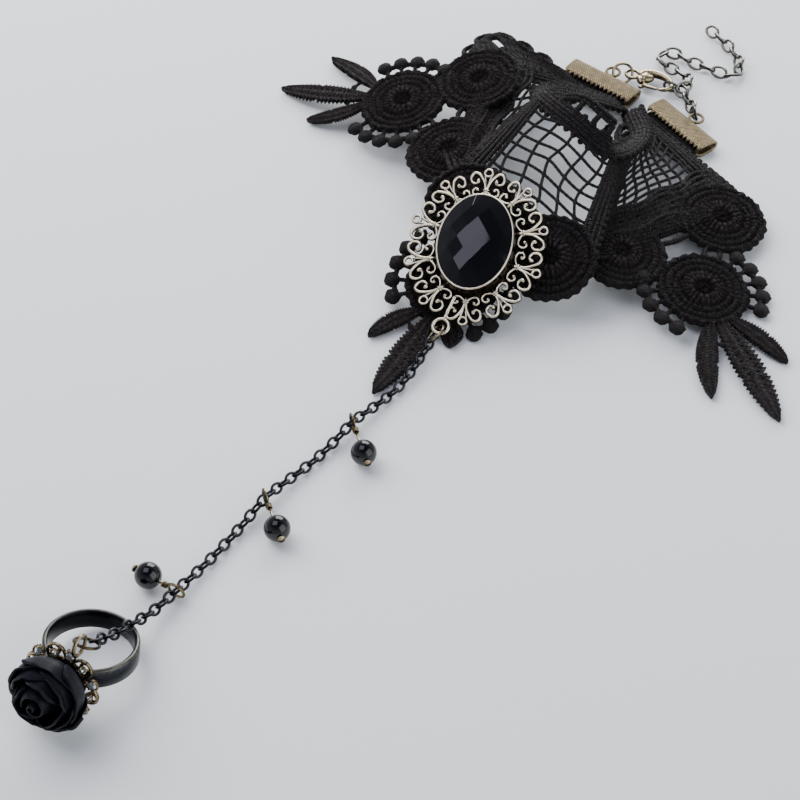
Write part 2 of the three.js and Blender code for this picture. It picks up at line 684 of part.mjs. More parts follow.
function ovalSetting() {
  const wall = toSolid(slab(oval(0, outerWidth / 2, outerLength / 2, 28), rimHeight).translate(0, 0, rimHeight / 2));
  const seat = toSolid(slab(oval(0, seatWidth / 2, seatLength / 2, 28), rimHeight)
    .translate(0, 0, rimHeight / 2 + backPlate));
  const one = toSolid(palmetteGeometry());
  let scrollwork = toSolid(new THREE.TorusGeometry(broochLoopRadius, broochLoopWire, 5, 12)
    .translate(...broochLoopAt().toArray()));
  for (let index = 0; index < palmettes; index += 1) {
    const frame = palmetteFrame((index + 0.5) / palmettes * Math.PI * 2 + 0.02);
    scrollwork = scrollwork.add(one.transform(frame.toArray()));
  }
  return wall.subtract(seat).add(scrollwork.subtract(seat));
}

// Faceted oval: a table, a crown of kite rows and a shallow pavilion, on a girdle of sixteen sides
function ovalStone() {
  const sides = 16;
  const rows = [
    { share: 0.5, height: 0 }, { share: 1, height: stonePavilion }, { share: 1, height: stonePavilion + 0.5 },
    { share: 0.82, height: stonePavilion + 0.5 + stoneCrown * 0.55 },
    { share: stoneTableShare, height: stonePavilion + 0.5 + stoneCrown },
  ];
  const profile = [new THREE.Vector2(0, rows[0].height)];
  rows.forEach((row) => profile.push(new THREE.Vector2(row.share, row.height)));
  profile.push(new THREE.Vector2(0, rows[rows.length - 1].height));
  const geometry = new THREE.LatheGeometry(profile, sides);
  geometry.rotateX(Math.PI / 2);
  geometry.scale(stoneWidth / 2, stoneLength / 2, 1);
  return toSolid(geometry.translate(0, 0, backPlate + gap));
}

// Bead with its bore, and its pin: head, shank, stem and a loop round the chain
function pinFrame(row) {
  const loop = new THREE.Vector3(...chainRoute[row.point]);
  const bead = new THREE.Vector3(row.east, row.north, beadRadius);
  return frameAlong(loop, bead.clone().sub(loop), up);
}

const beadDistance = (row) => new THREE.Vector3(...chainRoute[row.point])
  .distanceTo(new THREE.Vector3(row.east, row.north, beadRadius));

function bead(row) {
  const profile = [];
  const steps = 7;
  const cut = Math.asin(beadBore / beadRadius);
  for (let step = 0; step <= steps; step += 1) {
    const angle = -Math.PI / 2 + cut + step / steps * (Math.PI - 2 * cut);
    profile.push(new THREE.Vector2(beadRadius * Math.cos(angle), beadRadius * Math.sin(angle)));
  }
  profile.push(profile[0].clone());
  const geometry = new THREE.LatheGeometry(profile, 12);
  geometry.rotateZ(-Math.PI / 2);
  geometry.translate(beadDistance(row), 0, 0);
  return toSolid(geometry.applyMatrix4(pinFrame(row)));
}

function beadPin(row) {
  const distance = beadDistance(row);
  const headAt = distance + beadRadius * Math.cos(Math.asin(beadBore / beadRadius)) + gap + pinHeadHeight / 2;
  const head = new THREE.CylinderGeometry(pinHeadRadius, pinHeadRadius, pinHeadHeight, 8);
  head.rotateZ(-Math.PI / 2).translate(headAt, 0, 0);
  const shankStart = pinLoopRadius - 0.1;
  const shank = new THREE.CylinderGeometry(pinWire, pinWire, headAt - shankStart, 6);
  shank.rotateZ(-Math.PI / 2).translate((headAt + shankStart) / 2, 0, 0);
  const neck = new THREE.CylinderGeometry(pinWire * 1.8, pinWire * 1.8, pinStem, 6);
  neck.rotateZ(-Math.PI / 2).translate(pinLoopRadius + pinLoopWire + pinStem / 2 - 0.2, 0, 0);
  const frame = pinFrame(row);
  const loop = new THREE.TorusGeometry(pinLoopRadius, pinLoopWire, 5, 12);
  loop.rotateX(Math.PI / 2);
  return join([head, shank, neck, loop].map((geometry) => geometry.applyMatrix4(frame)));
}

// Finger ring, in its own frame: x towards the rose, z along the finger
const bandFrame = new THREE.Matrix4()
  .makeTranslation(-128.4, -177.0, bandWidth / 2 * Math.cos(radians(bandTilt))
    + bandOuter / 2 * Math.sin(radians(bandTilt)))
  .multiply(new THREE.Matrix4().makeRotationZ(radians(bandTurn)))
  .multiply(new THREE.Matrix4().makeRotationY(radians(-bandTilt)));
const flowerLoopPlace = () => new THREE.Vector3(
  bandOuter / 2 + flowerPlate / 2 - 0.1, 3.4, flowerRadius + 1.1);

function fingerRing() {
  const outer = bandOuter / 2;
  const inner = outer - bandWall;
  const halfWidth = bandWidth / 2;
  const profile = [[inner, -halfWidth], [outer, -halfWidth], [outer, halfWidth], [inner, halfWidth], [inner, -halfWidth]]
    .map(([radius, height]) => new THREE.Vector2(radius, height));
  const hoop = new THREE.LatheGeometry(profile, 32).rotateX(Math.PI / 2);
  const plateAt = outer + flowerPlate / 2 - 0.1;
  const turned = (geometry) => geometry.rotateZ(-Math.PI / 2);
  const plate = turned(new THREE.CylinderGeometry(flowerRadius * 0.62, flowerRadius * 0.62, flowerPlate, 12))
    .translate(plateAt, 0, 0);
  const pieces = [hoop, plate];
  for (let petal = 0; petal < flowerPetals; petal += 1) {
    const angle = (petal + 0.25) / flowerPetals * Math.PI * 2;
    const reach = flowerRadius - flowerPetalRadius;
    const y = Math.cos(angle) * reach;
    const z = Math.sin(angle) * reach;
    pieces.push(turned(new THREE.CylinderGeometry(flowerPetalRadius, flowerPetalRadius, flowerPlate, 10))
      .translate(plateAt, y, z));
    const tip = flowerRadius - flowerStoneRadius - 0.2;
    const stone = new THREE.CylinderGeometry(flowerStoneRadius * 0.55, flowerStoneRadius, 1, 8);
    pieces.push(turned(stone).translate(
      plateAt + flowerPlate / 2 + 0.4, Math.cos(angle) * tip, Math.sin(angle) * tip));
  }
  const loop = new THREE.TorusGeometry(flowerLoopRadius, flowerLoopWire, 5, 12).rotateX(Math.PI / 2);
  pieces.push(loop.translate(...flowerLoopPlace().toArray()));
  return join(pieces);
}

// Rosebud, its axis along x of the ring's frame: each petal's edge stands out over the next one's start,
// and the edges wind round the bud as they climb
function satinRose() {
  const bud = new THREE.SphereGeometry(1, roseSides, 9).rotateX(Math.PI / 2);
  const positions = bud.attributes.position;
  for (let index = 0; index < positions.count; index += 1) {
    const x = positions.getX(index);
    const y = positions.getY(index);
    const climb = (positions.getZ(index) + 1) / 2;
    const turn = Math.atan2(y, x) / (2 * Math.PI) + 1 + climb * rosePetalWind;
    const petalShare = (turn * rosePetals + 0.01) % 1;
    const flare = 1 + rosePetalStep * (petalShare - 0.5);
    positions.setXYZ(index, x * roseRadius * flare, y * roseRadius * flare, climb * roseHeight);
  }
  const start = bandOuter / 2 + flowerPlate + roseSeat;
  return toSolid(bud.rotateY(Math.PI / 2).translate(start, 0, 0).applyMatrix4(bandFrame));
}

const finishes = {
  lace: { color: 0x19161c, roughness: 0.85, metalness: 0 },
  bronze: { color: 0x9a8a5e, roughness: 0.4, metalness: 1 },
  palePlate: { color: 0xb0a070, roughness: 0.35, metalness: 1 },
  darkChain: { color: 0x4a463f, roughness: 0.4, metalness: 1 },
  blackChain: { color: 0x1c1d22, roughness: 0.35, metalness: 1 },
  glossBlack: { color: 0x07070a, roughness: 0.08, metalness: 0 },
  satin: { color: 0x15161f, roughness: 0.5, metalness: 0 },
  gunmetal: { color: 0x4c4a44, roughness: 0.4, metalness: 1 },
};

const cuff = new THREE.Group();
function addPiece(name, solid, finish, frame = new THREE.Matrix4()) {
  const mesh = new THREE.Mesh(toGeometry(solid), new THREE.MeshStandardMaterial(finishes[finish]));
  mesh.name = name;
  mesh.applyMatrix4(frame);
  cuff.add(mesh);
}

addPiece('lace_cuff', lace(), 'lace');
clampPlaces.forEach((row) => addPiece(`ribbon_clamp_${row.name}`, clampSolid(row), 'bronze', clampFrame(row)));

const claspRingFrame = frameAlong(claspRingCentre, claspRingDirection, new THREE.Vector3(0, 0, 1))
  .multiply(new THREE.Matrix4().makeRotationX(radians(claspRingTilt)));
addPiece('clasp_jump_ring', toSolid(ringAt(claspRingFrame, claspRingRadius, claspRingWire)), 'bronze');
addPiece('clasp_body', claspBody(), 'bronze', claspFrame);
addPiece('clasp_lever', claspLever(), 'bronze', claspFrame);
addPiece('extender_chain', extenderChain(), 'darkChain');

addPiece('oval_setting', ovalSetting(), 'palePlate', broochFrame);
addPiece('oval_stone', ovalStone(), 'glossBlack', broochFrame);

const ringReach = 2 * jumpRingRadius + jumpRingWire + gap;
const chainPoints = chainRoute.map((point) => new THREE.Vector3(...point));
const settingLoop = broochLoopAt().applyMatrix4(broochFrame);
const settingRingAlong = towards(settingLoop, chainPoints[0]);
const flowerLoop = flowerLoopPlace().applyMatrix4(bandFrame);
const fingerRingAlong = towards(flowerLoop, chainPoints[chainPoints.length - 1]);
const chainCurve = new THREE.CatmullRomCurve3([
  settingLoop.clone().addScaledVector(settingRingAlong, ringReach),
  ...chainPoints,
  flowerLoop.clone().addScaledVector(fingerRingAlong, ringReach),
], false, 'centripetal');
const settingRingFrame = frameAlong(
  settingLoop.clone().addScaledVector(settingRingAlong, jumpRingRadius), settingRingAlong, up)
  .multiply(new THREE.Matrix4().makeRotationX(radians(settingRingTilt)));
addPiece('setting_jump_ring', toSolid(ringAt(settingRingFrame, jumpRingRadius, jumpRingWire)), 'bronze');
addPiece('hand_chain', toSolid(wire(chainCurve, chainSteps, chainDiameter / 2, 8)), 'blackChain');
beadPlaces.forEach((row, index) => {
  addPiece(`bead_${index + 1}`, bead(row), 'glossBlack');
  addPiece(`bead_pin_${index + 1}`, beadPin(row), 'bronze');
});

const flowerLoopAxis = new THREE.Vector3(0, 1, 0).transformDirection(bandFrame);
const fingerJumpFrame = frameAlong(
  flowerLoop.clone().addScaledVector(fingerRingAlong, jumpRingRadius), fingerRingAlong,
  fingerRingAlong.clone().cross(flowerLoopAxis));
addPiece('ring_jump_ring', toSolid(ringAt(fingerJumpFrame, jumpRingRadius, jumpRingWire)), 'bronze');
addPiece('finger_ring', fingerRing(), 'gunmetal', bandFrame);
addPiece('satin_rose', satinRose(), 'satin');

// The origin is the middle of the cuff's footprint, on the floor
const box = new THREE.Box3().setFromObject(cuff, true);
cuff.position.set(-(box.min.x + box.max.x) / 2, -(box.min.y + box.max.y) / 2, -box.min.z);
const model = new THREE.Group();
model.add(cuff);

export default model;
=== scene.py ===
import math
import random

import bmesh
import bpy
import numpy as np
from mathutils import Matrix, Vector


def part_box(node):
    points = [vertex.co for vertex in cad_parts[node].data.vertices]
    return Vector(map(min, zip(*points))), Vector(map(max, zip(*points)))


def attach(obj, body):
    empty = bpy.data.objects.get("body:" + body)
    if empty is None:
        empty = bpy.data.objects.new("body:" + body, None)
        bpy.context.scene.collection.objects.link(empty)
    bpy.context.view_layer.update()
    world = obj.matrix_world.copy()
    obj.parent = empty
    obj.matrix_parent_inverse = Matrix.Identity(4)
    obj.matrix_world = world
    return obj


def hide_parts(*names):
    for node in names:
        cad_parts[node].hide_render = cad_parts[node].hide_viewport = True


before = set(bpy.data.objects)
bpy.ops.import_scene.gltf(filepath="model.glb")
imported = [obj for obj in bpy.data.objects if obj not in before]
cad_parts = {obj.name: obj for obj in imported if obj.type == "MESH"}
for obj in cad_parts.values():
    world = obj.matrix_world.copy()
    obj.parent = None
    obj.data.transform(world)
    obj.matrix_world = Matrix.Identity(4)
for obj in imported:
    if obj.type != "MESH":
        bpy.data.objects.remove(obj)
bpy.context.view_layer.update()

# The cuff lies on a plain pale table and is seen from above its finger ring. All places below are
# millimetres from the hub, the point between the two ribbon clamps that the lace is laid out round.
MM = 0.001
bead_two_from_hub = (-91.6, -144.6, 3.0)
bead_low, bead_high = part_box("bead_2")
hub = np.array((bead_low + bead_high) / 2) - np.array(bead_two_from_hub) * MM

camera_from_hub = (-64.83, -395.0, 333.6)
camera_elevation = 49
camera_lens = 85.5


def spot(east, north, height=0.0):
    return np.array((east, north, height), float)


def in_scene(points):
    return hub + np.asarray(points, float) * MM


camera_data = bpy.data.cameras.new("table_camera")
camera_data.lens = camera_lens
camera_data.sensor_width = 36
camera_data.clip_start = 0.02
camera = bpy.data.objects.new("table_camera", camera_data)
camera.location = in_scene(camera_from_hub)
camera.rotation_euler = (math.radians(90 - camera_elevation), 0, 0)
bpy.context.scene.collection.objects.link(camera)
bpy.context.scene.camera = camera

table_half = 1.6
table_mesh = bpy.data.meshes.new("table_top")
table_mesh.from_pydata(
    [(-table_half, -table_half, 0), (table_half, -table_half, 0),
     (table_half, table_half, 0), (-table_half, table_half, 0)], [], [(0, 1, 2, 3)])
table = bpy.data.objects.new("table_top", table_mesh)
bpy.context.scene.collection.objects.link(table)
table_paint = bpy.data.materials.new("table_paint")
table_paint.use_nodes = True
table_shader = table_paint.node_tree.nodes["Principled BSDF"]
table_shader.inputs["Base Color"].default_value = (0.80, 0.82, 0.84, 1)
table_shader.inputs["Roughness"].default_value = 0.7
table_mesh.materials.append(table_paint)

# A wide window at the upper left lights the lace without showing in the gloss, and a weak one in the same
# place gives the glint. The stone and the metal mirror a panel over the stone, a soft wall at the right and
# a panel at the back.
room = bpy.data.worlds.new("studio")
room.use_nodes = True
sky = room.node_tree.nodes["Background"]
sky_way = room.node_tree.nodes.new("ShaderNodeTexCoord")
sky_parts = room.node_tree.nodes.new("ShaderNodeSeparateXYZ")
sky_tone = room.node_tree.nodes.new("ShaderNodeValToRGB")
sky_tone.color_ramp.elements[0].position = 0.30
sky_tone.color_ramp.elements[0].color = (0.80, 0.84, 0.90, 1)
sky_tone.color_ramp.elements[1].position = 0.88
sky_tone.color_ramp.elements[1].color = (0.10, 0.11, 0.13, 1)
room.node_tree.links.new(sky_way.outputs["Generated"], sky_parts.inputs["Vector"])
room.node_tree.links.new(sky_parts.outputs["Z"], sky_tone.inputs["Fac"])
room.node_tree.links.new(sky_tone.outputs["Color"], sky.inputs["Color"])
sky.inputs["Strength"].default_value = 0.75
bpy.context.scene.world = room


def studio_panel(name, place, aim, width, watts, tint=(1, 1, 1), mirrored=True):
    light = bpy.data.lights.new(name, "AREA")
    light.size = width
    light.energy = watts
    light.color = tint
    lamp = bpy.data.objects.new(name, light)
    lamp.visible_glossy = mirrored
    lamp.location = in_scene(place)
    direction = Vector(in_scene(aim)) - Vector(lamp.location)
    lamp.rotation_euler = direction.to_track_quat("-Z", "Y").to_euler()
    bpy.context.scene.collection.objects.link(lamp)


lace_middle = (-40, -60, 0)
window_place, window_width = (-560, 380, 520), 0.80
studio_panel("window", window_place, lace_middle, window_width, 11.5, mirrored=False)
studio_panel("window_glint", window_place, lace_middle, window_width, 2.0)
studio_panel("stone_glow", (-270, -20, 760), (-46, -66, 11), 0.52, 2.0, (0.80, 0.80, 1))
studio_panel("soft_wall", (520, -420, 380), lace_middle, 0.7, 3.0, (0.92, 0.96, 1))
studio_panel("back_panel", (60, 560, 300), lace_middle, 0.5, 5.0)


# The black guipure lace: thread embroidered on a ground that is washed away, so that cords, wheels and
# leaves of solid stitching hold each other. It is three fans round the arm's opening, lying as a low
# tent whose rim stands 24 mm up.
lace_reach = 100.0
arch_rise = 24.0

# Each fan's two upper wheels, its lower wheel and its leaf tips: east, north and rise as shares of the two.
fans = [
    {"first": (-0.438, -0.041, 0.50), "second": (-0.521, -0.282, 0.375), "lower": (-0.640, -0.070, 0.30),
     "leaves": [(-0.835, 0.187), (-0.968, 0.059), (-0.896, -0.072)]},
    {"first": (-0.477, -0.529, 0.54), "second": (-0.286, -0.683, 0.42), "lower": (-0.522, -0.718, 0.21),
     "leaves": [(-0.725, -0.853), (-0.712, -1.034), (-0.529, -0.890)]},
    {"first": (-0.107, -0.625, 0.25), "second": (0.157, -0.482, 0.16), "lower": (0.087, -0.723, 0.13),
     "leaves": [(0.076, -1.050), (0.225, -1.120), (0.267, -0.940)]},
]
rim_stations = [
    (-0.060, -0.022, 0.07), (-0.166, -0.105, 0.50), (-0.290, -0.201, 0.88), (-0.222, -0.337, 1.00),
    (-0.124, -0.384, 0.75), (-0.030, -0.236, 0.38), (-0.028, -0.045, 0.07),
]
hub_ring = 10.0
wheel_radius, wheel_lift = 11.5, 0.2
corner_inset = 1.2
stitch = 0.62
rng = random.Random(7)


def unit(vector):
    return vector / np.linalg.norm(vector)


def on_lace(row):
    east, north, rise = row
    return spot(east * lace_reach, north * lace_reach, rise * arch_rise)


def smooth_route(points, step, closed=False):
    """Points evenly spaced along a rounded line through the given ones."""
    points = [np.asarray(p, float) for p in points]
    if closed:
        padded = [points[-1]] + points + [points[0], points[1]]
    else:
        padded = [2 * points[0] - points[1]] + points + [2 * points[-1] - points[-2]]
    line = []
    for a, b, c, d in zip(padded, padded[1:], padded[2:], padded[3:]):
        ab, bc, cd = (max(np.linalg.norm(q - p), 1e-6) ** 0.5 for p, q in ((a, b), (b, c), (c, d)))
        start = ((b - a) / ab - (c - a) / (ab + bc) + (c - b) / bc) * bc
        end = ((c - b) / bc - (d - b) / (bc + cd) + (d - c) / cd) * bc
        for t in np.linspace(0, 1, 12, endpoint=False):
            line.append((2 * t**3 - 3 * t**2 + 1) * b + (t**3 - 2 * t**2 + t) * start
                        + (-2 * t**3 + 3 * t**2) * c + (t**3 - t**2) * end)
    line.append(points[0] if closed else points[-1])
    line = np.array(line)
    run = np.concatenate([[0], np.cumsum(np.linalg.norm(np.diff(line, axis=0), axis=1))])
    count = max(int(round(run[-1] / step)), 3)
    even = np.linspace(0, run[-1], count + 1)
    route = np.stack([np.interp(even, run, line[:, k]) for k in range(3)], 1)
    return route[:-1] if closed else route


def ring_faces(rings, around, closed):
    """Faces between neighbouring rings of points. A closed row joins its last ring to its first, and an open
    one has a cap at each end."""
    faces = []
    for ring in range(rings if closed else rings - 1):
        here, there = ring * around, (ring + 1) % rings * around
        for k in range(around):
            after = (k + 1) % around
            faces.append((here + k, here + after, there + after, there + k))
    if not closed:
        faces.append(tuple(range(around))[::-1])
        faces.append(tuple(range((rings - 1) * around, rings * around)))
    return faces


def rope(route, radius, sides=8, closed=False, lump=0.0, pitch=1.1, flat=1.0, top=(0, 0, 1)):
    """Round cord or wire along a route: vertices, faces and a mark (run, turn and a painted light tone) for
    each vertex.
    """
    route = np.asarray(route, float)
    count = len(route)
    ahead = np.roll(route, -1, 0) - np.roll(route, 1, 0)
    if not closed:
        ahead[0] = route[1] - route[0]
        ahead[-1] = route[-1] - route[-2]
    ahead /= np.linalg.norm(ahead, axis=1)[:, None]
    top = np.asarray(top, float)
    side = np.cross(top, ahead)
    weak = np.linalg.norm(side, axis=1) < 0.2
    side[weak] = np.cross((0.8, 0.5, 0.1), ahead[weak])
    side /= np.linalg.norm(side, axis=1)[:, None]
    lift = np.cross(ahead, side)
    steps = np.linalg.norm(np.diff(route, axis=0), axis=1)
    run = np.concatenate([[0], np.cumsum(steps)])
    start = rng.uniform(0, pitch) if lump else 0
    shade = 0.74 if lump else 1
    knots = (0.6 * np.abs(np.cos(math.pi * (run + start) / pitch))
             + 0.4 * np.abs(np.cos(math.pi * run / (pitch * 1.7))))
    radii = np.broadcast_to(np.asarray(radius, float), (count,)) * (1 - lump + lump * knots)
    turn = np.arange(sides) / sides * 2 * math.pi
    rings = (route[:, None, :]
             + (radii[:, None] * np.cos(turn))[..., None] * side[:, None, :]
             + (flat * radii[:, None] * np.sin(turn))[..., None] * lift[:, None, :])
    vertices = rings.reshape(-1, 3)
    # Painted shade and highlight: the tone is lightest on the cord's upper side and darkest under it, and
    # lower on knotted cords.
    marks = np.stack([np.repeat(run, sides), np.tile(turn, count),
                      np.tile(0.5 + 0.5 * np.sin(turn), count) * shade], 1)
    return vertices, ring_faces(count, sides, closed), marks


def gather(parts):
    vertices = np.concatenate([p[0] for p in parts])
    marks = np.concatenate([p[2] for p in parts])
    faces = []
    start = 0
    for part in parts:
        faces.extend(tuple(start + k for k in face) for face in part[1])
        start += len(part[0])
    return vertices, faces, marks


def lay_piece(name, parts, material, slot, body="cuff", smooth=True, stands_for=()):
    """One object of the scene from its parts, given in millimetres from the hub."""
    vertices, faces, marks = gather(parts)
    mesh = bpy.data.meshes.new(name)
    mesh.from_pydata(in_scene(vertices).tolist(), [], faces)
    # The third mark is a tone of painted shade and highlight; on the metal it is partly also the antique
    # finish.
    for column, label in enumerate(("run", "turn", "wear_and_shade")):
        mesh.attributes.new(label, "FLOAT", "POINT").data.foreach_set(
            "value", marks[:, column].astype(np.float32))
    if smooth:
        mesh.shade_smooth()
    mesh.materials.append(material)
    piece = bpy.data.objects.new(name, mesh)
    bpy.context.scene.collection.objects.link(piece)
    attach(piece, body)
    if stands_for:
        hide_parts(*stands_for)
    return piece


def facing(normal, towards):
    """Axes of a flat piece: across, up its face and out of its face."""
    out = unit(np.asarray(normal, float))
    up_face = unit(np.cross(out, towards))
    return np.cross(up_face, out), up_face, out


def stitched_wheel(centre, axes, radius=wheel_radius):
    """Embroidered wheel: rings of upright stitches round a raised boss with a hollow middle."""
    rings, spokes = 36, 120
    across, up_face, out = axes
    turn = np.arange(spokes) / spokes * 2 * math.pi
    distance = np.linspace(0.015, 1, rings) * radius
    cords = distance / radius * 6
    ridge = np.abs(np.sin(math.pi * cords)) ** 0.6
    level = 0.30 + 0.62 * ridge + 0.60 * np.exp(-((distance - 3.6) / 1.0) ** 2)
    level = level * np.clip((radius * 1.02 - distance) / 0.7, 0.25, 1)
    band_number = np.floor(cords)
    beads = np.round(2 * math.pi * (band_number + 0.6) / 6 * radius / 1.25)
    shift = band_number[:, None] * 1.3 + 0.5 * np.sin(3 * turn + band_number[:, None])
    knots = np.abs(np.cos(0.5 * beads[:, None] * turn[None, :] + shift))
    rough = np.array([[rng.uniform(-0.24, 0.24) for k in range(spokes)] for ring in range(rings)])
    height = level[:, None] * (0.50 + 0.50 * knots) * 1.35 + rough
    edge = 1 + 0.022 * np.cos(26 * turn) + 0.012 * np.sin(7 * turn + centre[0])
    reach = distance[:, None] * np.where(distance[:, None] > radius * 0.88, edge[None, :], 1)
    flat = (reach * np.cos(turn))[..., None] * across + (reach * np.sin(turn))[..., None] * up_face
    upper = centre + flat + (height - 0.25)[..., None] * out
    under = [rings - 1, rings // 2, 0]
    lower = centre + flat[under] * 0.985 - 0.75 * out
    vertices = np.concatenate([upper.reshape(-1, 3), lower.reshape(-1, 3)])
    marks = np.zeros((len(vertices), 3))
    marks[:rings * spokes, 0] = np.tile(turn * 14, rings)
    marks[:rings * spokes, 1] = np.repeat(cords * 2 * math.pi, spokes)
    # Painted light: each stitch is lighter the higher it stands.
    marks[:rings * spokes, 2] = height.ravel() / 1.7
    faces = []
    below = rings * spokes
    last = (rings - 1) * spokes
    for k in range(spokes):
        after = (k + 1) % spokes
        for ring in range(rings - 1):
            a, b = ring * spokes + k, ring * spokes + after
            faces.append((a, a + spokes, b + spokes, b))
        faces.append((last + k, below + k, below + after, last + after))
        for ring in (0, 1):
            a, b = below + ring * spokes + k, below + ring * spokes + after
            faces.append((a, a + spokes, b + spokes, b))
        faces.append((below + 2 * spokes + k, k, after, below + 2 * spokes + after))
    return vertices, faces, marks


def shell(upper, lower, marks, skip=lambda i, j: False):
    """Closed sheet between two grids of points, open at the cells that skip names."""
    rows, columns = upper.shape[:2]
    vertices = np.concatenate([upper.reshape(-1, 3), lower.reshape(-1, 3)])
    below = rows * columns
    kept = {(i, j) for i in range(rows - 1) for j in range(columns - 1) if not skip(i, j)}
    faces = []
    for i, j in sorted(kept):
        a, b = i * columns + j, i * columns + j + 1
        c, d = b + columns, a + columns
        faces.append((a, b, c, d))
        faces.append((below + d, below + c, below + b, below + a))
        neighbours = (((i - 1, j), b, a), ((i + 1, j), d, c), ((i, j - 1), a, d), ((i, j + 1), c, b))
        for near, one, two in neighbours:
            if near not in kept:
                faces.append((one, two, below + two, below + one))
    return vertices, faces, np.concatenate([marks.reshape(-1, 3)] * 2)


def stitched_leaf(base, tip, width, side_bend, holes):
    """Slender leaf with a saw edge, slanting stitches either side of its vein and small eyelets."""
    along_steps, across_steps = 92, 12
    teeth = 23
    ahead = tip - base
    length = np.linalg.norm(ahead)
    ahead = ahead / length
    aside = unit(np.cross((0, 0, 1), ahead))
    out = np.cross(ahead, aside)
    share = np.linspace(0, 1, along_steps + 1)[:, None]
    across = np.linspace(-1, 1, across_steps + 1)[None, :]
    swell = np.sin(math.pi * np.clip(share * 0.93 + 0.05, 0, 1)) ** 0.85
    saw = 1 + 0.30 * (1 - 2 * ((share * teeth) % 1)) * np.clip(swell * 1.5, 0.2, 1)
    half = (0.55 + (width / 2 - 0.55) * swell) * saw * np.clip((1.03 - share) / 0.10, 0.12, 1)
    slant = np.abs(np.sin(math.pi * (share * teeth - np.abs(across) * 1.2)))
    vein = np.exp(-(across / 0.16) ** 2)
    rim_cord = np.exp(-((np.abs(across) - 0.86) / 0.14) ** 2)
    height = 0.30 + 0.30 * slant + 0.42 * vein + 0.30 * rim_cord
    bend = side_bend * np.sin(math.pi * share)
    middle = base + share[..., None] * length * ahead + bend[..., None] * aside
    place = middle + (half * across)[..., None] * aside
    upper = place + height[..., None] * out
    lower = place - (0.28 + 0.22 * slant)[..., None] * out
    # The third mark is painted light: the higher a stitch stands, the lighter it is.
    marks = np.stack(np.broadcast_arrays(share * length * 1.4, across * 2.2, 0.4 + 0.6 * height), -1)

    def eyelet(i, j):
        return holes and 18 < i < 62 and i % 6 in (1, 2) and j in (3, 8)

    return shell(upper, lower, marks, eyelet)


def picot(centre, radius, out, rows=9, columns=16):
    """Stitched knob, a little flat and lumpy, the small ones less so."""
    flatness = 0.62
    lumps = 0.07 if columns < 12 else 0.13
    across, up_face, out = facing(out, (1, 0.2, 0))
    vertices = [centre + out * radius * flatness]
    for row in range(1, rows):
        lean = math.pi * row / rows
        for column in range(columns):
            turn = 2 * math.pi * column / columns
            bulge = radius * (1 + lumps * math.cos(5 * turn + row * 2.1) * math.cos(1.7 * row))
            aside = math.cos(turn) * across + math.sin(turn) * up_face
            rise = math.cos(lean) * radius * flatness
            vertices.append(centre + math.sin(lean) * bulge * aside + rise * out)
    vertices.append(centre - out * radius * flatness)
    faces = [(0, 1 + k, 1 + (k + 1) % columns) for k in range(columns)]
    for row in range(rows - 2):
        here = 1 + row * columns
        for k in range(columns):
            after = (k + 1) % columns
            faces.append((here + k, here + columns + k, here + columns + after, here + after))
    last = 1 + (rows - 2) * columns
    faces += [(last + k, len(vertices) - 1, last + (k + 1) % columns) for k in range(columns)]
    vertices = np.array(vertices)
    # The third mark is painted light: the knob's outward face is lighter and its back darker.
    marks = np.stack([np.linspace(0, 9, len(vertices)), np.linspace(0, 20, len(vertices)),
                      np.clip(0.30 + 0.55 * (vertices - centre) @ out / radius, 0, 1)], 1)
    return vertices, faces, marks


def fan_out(fan):
    lower = on_lace(fan["lower"])
    out = unit(np.cross(on_lace(fan["first"]) - lower, on_lace(fan["second"]) - lower))
    return out if out[2] > 0 else -out


rim_line = smooth_route([on_lace(row) for row in rim_stations], 0.25)


def rim_at(share):
    place = share * (len(rim_line) - 1)
    low_index = min(int(place), len(rim_line) - 2)
    return rim_line[low_index] + (rim_line[low_index + 1] - rim_line[low_index]) * (place - low_index)


clamps = {
    "left": {"middle": (-10.2, 7.3), "along": 140.7, "teeth": 1},
    "right": {"middle": (9.5, -10.9), "along": -54.6, "teeth": -1},
}
clamp_length, clamp_depth, clamp_height = 21.0, 7.0, 3.2


def heading(degrees):
    return np.array((math.cos(math.radians(degrees)), math.sin(math.radians(degrees)), 0.0))


def on_clamp(side, along, across, height):
    row = clamps[side]
    ahead, left = heading(row["along"]), heading(row["along"] + 90)
    return spot(*row["middle"], height) + ahead * along + left * across


rim_shares = [(0, 0.333), (0.333, 0.667), (0.667, 1)]
net_foot = 0.45
fan_bends = [
    (on_clamp("left", clamp_length * 0.42, clamp_depth / 2 + 1, clamp_height / 2), None),
    (None, None),
    (None, on_clamp("right", clamp_length * 0.42, -clamp_depth / 2 - 1, clamp_height / 2)),
]


def net_sheet(number):
    """Where a point of a fan's net lies: s runs along the rim and t from the rim down to the wheels."""
    fan = fans[number]
    first, second, lower = (on_lace(fan[key]) for key in ("first", "second", "lower"))
    across = unit(second - first)
    foot = unit((first + second) / 2 - lower) * hub_ring * net_foot
    corner_one = first - across * (hub_ring - corner_inset) + foot
    corner_two = second + across * (hub_ring - corner_inset) + foot
    low_share, high_share = rim_shares[number]
    rim_one, rim_two = rim_at(low_share), rim_at(high_share)

    def side_line(t, start, end, bend):
        middle = (start + end) / 2 if bend is None else bend
        return start * (1 - t) ** 2 + middle * 2 * t * (1 - t) + end * t**2

    def at(s, t):
        top_line = rim_at(low_share + (high_share - low_share) * s)
        foot_line = corner_one + (corner_two - corner_one) * s
        ruled = top_line * (1 - t) + foot_line * t
        sides = (side_line(t, rim_one, corner_one, fan_bends[number][0]) * (1 - s)
                 + side_line(t, rim_two, corner_two, fan_bends[number][1]) * s)
        flat = (rim_one + (rim_two - rim_one) * s) * (1 - t) + foot_line * t
        return ruled + sides - flat

    return at


